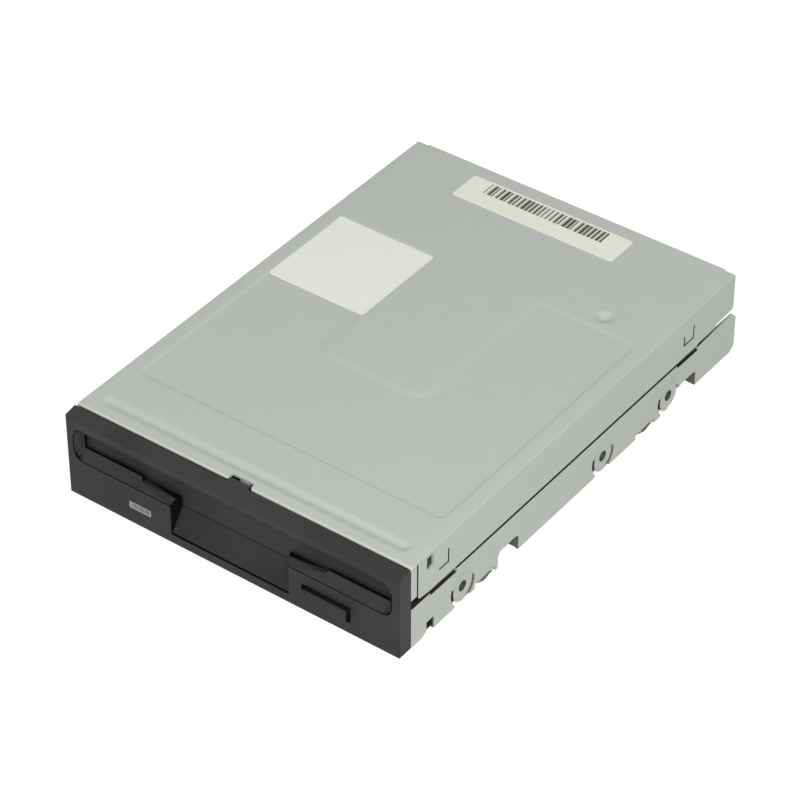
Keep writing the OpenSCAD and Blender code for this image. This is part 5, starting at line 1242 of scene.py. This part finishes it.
class DRIVE_OT_motors(bpy.types.Operator):
    """Cuts the lead screw's groove and winds the spindle motor's coils"""

    bl_idname = "drive.motors"
    bl_label = "Lead screw and windings"

    def execute(self, context):
        add_piece("lead_screw_groove", self.screw(), "lead_screw", "bright_steel", ["lead_screw"], 60)
        add_piece("stator_windings", self.windings(), "stator_coils", "copper", ["stator_coils"], 80)
        return {"FINISHED"}

    def screw(self):
        """Rod with one helical groove: the radius falls by a rounded notch where the turn matches the pitch.

        The notch's depth is one less the square of the distance along the rod from the groove's middle, over
        the groove's half width, and it fades out at both ends of the thread."""
        pitch, width, cut = 3.75 * MM, 0.75 * MM, 0.42 * MM
        start, end, fade_run = 2 * MM, 8 * MM, 2 * MM
        steps, drawn_r = 300, 1.5
        low, high = corners("lead_screw")
        middle, outer = (low + high) / 2, (high[0] - low[0]) / 2
        length = high[1] - low[1]
        last = length / MM
        run = np.concatenate([[0, 0, 1.0, 1.1], np.linspace(1.2, last - 0.2, steps), [last, last]]) * MM
        body = np.concatenate([[0, 0.9, 1.0, 1.0], np.full(steps, drawn_r), [1.35, 0]]) * outer / drawn_r
        turn = np.linspace(0, tau, 28, endpoint=False)
        away = ((run[:, None] / pitch - turn[None] / tau + 0.5) % 1 - 0.5) * pitch
        fade = smoothstep((run - start) / fade_run) * smoothstep((length - end - run) / fade_run)
        notch = cut * np.clip(1 - (away / width) ** 2, 0, 1) * fade[:, None]
        radius = np.maximum(body[:, None] - notch, 1e-5)
        points = on_grid(middle[0] + radius * np.sin(turn), low[1] + run[:, None],
                         middle[2] + radius * np.cos(turn))
        return close_tube(points[:, ::-1])

    def windings(self):
        """One wound block for each pole: a rounded section along the pole, ridged by the wires that cross it.

        The section's size swells by the height of a half wave of the sine over each wire."""
        poles, wires, steps = 9, 15, 6
        inner, outer, half_w, wire, corner = 10.2 * MM, 16.9 * MM, 2.2 * MM, 0.48 * MM, 0.7 * MM
        low, high = corners("stator_coils")
        core_low, core_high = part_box("stator_core")
        hub = np.array([0.0, (core_low.y + core_high.y) / 2, (low[2] + high[2]) / 2])
        half_z = (high[2] - low[2]) / 2
        run = np.linspace(0, 1, wires * steps + 1)
        ridge = wire * 0.5 * (np.abs(np.sin(pi * wires * run)) - 1)
        rings = np.stack([rounded_outline(half_w + s, half_z + s, corner, 4) for s in ridge])
        along = (inner + run * (outer - inner))[:, None]
        shapes = []
        for a in tau * np.arange(poles) / poles:
            x = along * cos(a) - rings[..., 0] * sin(a)
            y = along * sin(a) + rings[..., 0] * cos(a)
            shapes.append(close_tube(on_grid(x, y, rings[..., 1]) + hub))
        return joined(*shapes)


class DRIVE_OT_boards(bpy.types.Operator):
    """Dresses the main board's underside and bends the flat spindle cable"""

    bl_idname = "drive.boards"
    bl_label = "Boards and cable"

    def execute(self, context):
        low, high = corners("main_board")
        chips = self.chip_boxes()
        bodies = joined(*[soft_block(a, b, 0.3, 0.18, -3) for a, b in chips])
        add_piece("chip_bodies", bodies, "board_chips", "carriage_plastic", ["board_chips"], 50)
        add_piece("chip_legs", joined(*[self.legs(a, b) for a, b in chips]), "main_board", "bright_steel")
        add_piece("solder_joints", self.solder(low[2]), "main_board", "bright_steel", sharp=60)
        ends, blocks = self.small_parts(low, high, chips)
        add_piece("chip_part_ends", ends, "main_board", "bright_steel")
        add_piece("chip_part_blocks", blocks, "main_board", "ferrite")
        add_piece("cable_ribbon", self.ribbon(), "spindle_cable", "cable_film", ["spindle_cable"], 50)
        return {"FINISHED"}

    def chip_boxes(self):
        """Corners of each chip, from the node's own solid: its vertices fall into three boxes by their x."""
        points = np.array([v.co for v in frame["nodes"]["board_chips"].data.vertices])
        low, high = points.min(0), points.max(0)
        x = points[:, 0] / MM
        boxes = []
        for group in (points[x < -10], points[np.abs(x - 5) < 9], points[x > 16]):
            if len(group) == 0:
                raise RuntimeError("a chip is missing from board_chips")
            boxes.append((np.array([*group.min(0)[:2], low[2]]), np.array([*group.max(0)[:2], high[2]])))
        return boxes

    def legs(self, low, high):
        """Gull-wing legs on two sides: a strip carried out, down and out again, repeated by the pitch."""
        run = np.array([-0.1, 0.35, 0.5, 0.65, 0.8, 1.3]) * MM
        rise = np.array([0.75, 0.75, 0.65, 0.2, 0.08, 0.06]) * MM
        half, thick, pitch, first, last = 0.17 * MM, 0.12 * MM, 0.8 * MM, 1.0 * MM, 0.8 * MM
        outline = np.concatenate([np.stack([run, rise], -1), np.stack([run, rise + thick], -1)[::-1]])
        places = on_grid(0.0, np.arange(low[1] + first, high[1] - last, pitch), 0.0)
        sides = []
        for sign, edge in ((-1, low[0]), (1, high[0])):
            x, z = edge + sign * outline[:, 0], high[2] - outline[:, 1]
            pair = on_grid(x, np.array([[-half], [half]]), z)
            sides.append(repeated(*close_tube(pair[:, ::-sign]), places))
        return joined(*sides)

    def solder(self, under):
        """Solder cones under the header pins: rings whose radius falls with a power to the pin's end."""
        foot_r, taper, power, height = 0.95, 0.65, 0.6, 0.8 * MM
        pitch, signal_pins, power_pins = 2.54 * MM, 17, 4
        turn = np.linspace(0, tau, 8, endpoint=False)
        share = np.array([0.0, 0.35, 0.7, 1.0])[:, None]
        radius = (foot_r - taper * share ** power) * MM
        shape = close_tube(on_grid(radius * np.cos(turn), -radius * np.sin(turn), -share * height))
        low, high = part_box("signal_header")
        columns = (low.x + high.x) / 2 + (np.arange(signal_pins) - (signal_pins - 1) / 2) * pitch
        rows = low.y + np.array([-2.4, 0.14]) * MM
        signal = on_grid(columns, rows[:, None], under).reshape(-1, 3)
        low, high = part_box("power_header")
        columns = (low.x + high.x) / 2 + (np.arange(power_pins) - (power_pins - 1) / 2) * pitch
        supply = on_grid(columns, low.y + 1.5 * MM, under)
        return repeated(*shape, np.concatenate([signal, supply]))

    def small_parts(self, low, high, chips):
        """Chip resistors and capacitors in short rows: two metal ends and a dark middle, at seeded places."""
        tries, step_x, step_y = 90, 2.6 * MM, 1.9 * MM
        chip_gap, screw_x, screw_y, screw_gap = 3.2 * MM, 38.5 * MM, 5.5 * MM, 5 * MM
        chance = np.random.default_rng(7)
        x = np.round(chance.uniform(low[0] + 8 * MM, high[0] - 8 * MM, tries) / step_x) * step_x
        y = np.round(chance.uniform(low[1] + 5 * MM, high[1] - 16 * MM, tries) / step_y) * step_y
        places = np.unique(np.round(np.column_stack([x, y]), 6), axis=0)
        free = np.ones(len(places), bool)
        for a, b in chips:
            free &= ~between(places, a[:2] - chip_gap, b[:2] + chip_gap).all(axis=1)
        for side in (-1, 1):
            off = places - [side * screw_x, low[1] + screw_y]
            free &= np.hypot(off[:, 0], off[:, 1]) > screw_gap
        places = np.column_stack([places[free], np.full(free.sum(), low[2])])

        def block(x0, x1, height):
            """Small block under the board, from x0 to x1."""
            ends = np.array([[x0, -0.4, -height], [x1, 0.4, 0.02]]) * MM
            return soft_block(*ends, 0.05, 0.06, -3, steps=2)

        ends = joined(block(-0.8, -0.5, 0.5), block(0.5, 0.8, 0.5))
        return repeated(*ends, places), repeated(*block(-0.5, 0.5, 0.46), places)

    def ribbon(self):
        """Flat cable: a thin strip along the board, down its edge, along the deck and down to the main board.

        Corners are quarter circles; the strip's thickness is laid to one side of the path."""
        thick, r, lap = 0.15 * MM, 0.5 * MM, 3.5 * MM
        low, high = corners("spindle_cable")
        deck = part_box("spindle_board")[0].z + thick
        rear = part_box("spindle_board")[1].y + thick
        top, foot = high[2], low[2] + thick
        fall = high[1] - lap + thick
        turn = np.linspace(0, pi / 2, 5)
        down = np.column_stack([np.sin(turn), np.cos(turn) - 1]) * r
        out = np.column_stack([1 - np.cos(turn), -np.sin(turn)]) * r
        path = np.concatenate([
            [[low[1], top]], down + [rear - r, top], out + [rear, deck + r],
            np.column_stack([np.linspace(rear + 2 * r, fall - 2 * r, 12), np.full(12, deck)]),
            down + [fall - r, deck], out + [fall, foot + r], [[high[1], foot]]])
        x = np.linspace(high[0], low[0], 9)
        return thick_sheet(on_grid(x, path[:, :1], path[:, 1:])[:, ::-1], thick)


class DRIVE_PT_panel(bpy.types.Panel):
    """Lists the makers in the order that they run"""

    bl_idname = "DRIVE_PT_panel"
    bl_label = "Disk drive"
    bl_space_type = "VIEW_3D"
    bl_region_type = "UI"
    bl_category = "Drive"

    def draw(self, context):
        for maker in MAKERS:
            self.layout.operator(maker.bl_idname)


MAKERS = (DRIVE_OT_finishes, DRIVE_OT_stage, DRIVE_OT_cover, DRIVE_OT_mouldings, DRIVE_OT_button,
          DRIVE_OT_labels, DRIVE_OT_springs, DRIVE_OT_motors, DRIVE_OT_boards)
GROUPS = (("drive_sizes", DriveSizes), ("drive_colours", DriveColours), ("drive_stage", DriveStage))


def register():
    for name, group in GROUPS:
        bpy.utils.register_class(group)
        setattr(bpy.types.Scene, name, bpy.props.PointerProperty(type=group))
    for maker in MAKERS:
        bpy.utils.register_class(maker)
    bpy.utils.register_class(DRIVE_PT_panel)


def unregister():
    bpy.utils.unregister_class(DRIVE_PT_panel)
    for maker in reversed(MAKERS):
        bpy.utils.unregister_class(maker)
    for name, group in reversed(GROUPS):
        delattr(bpy.types.Scene, name)
        bpy.utils.unregister_class(group)


def main():
    """Registers the classes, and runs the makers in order."""
    register()
    bpy.ops.drive.finishes()
    bpy.ops.drive.stage()
    bpy.ops.drive.cover()
    bpy.ops.drive.mouldings()
    bpy.ops.drive.button()
    bpy.ops.drive.labels()
    bpy.ops.drive.springs()
    bpy.ops.drive.motors()
    bpy.ops.drive.boards()


if __name__ == "__main__":
    main()
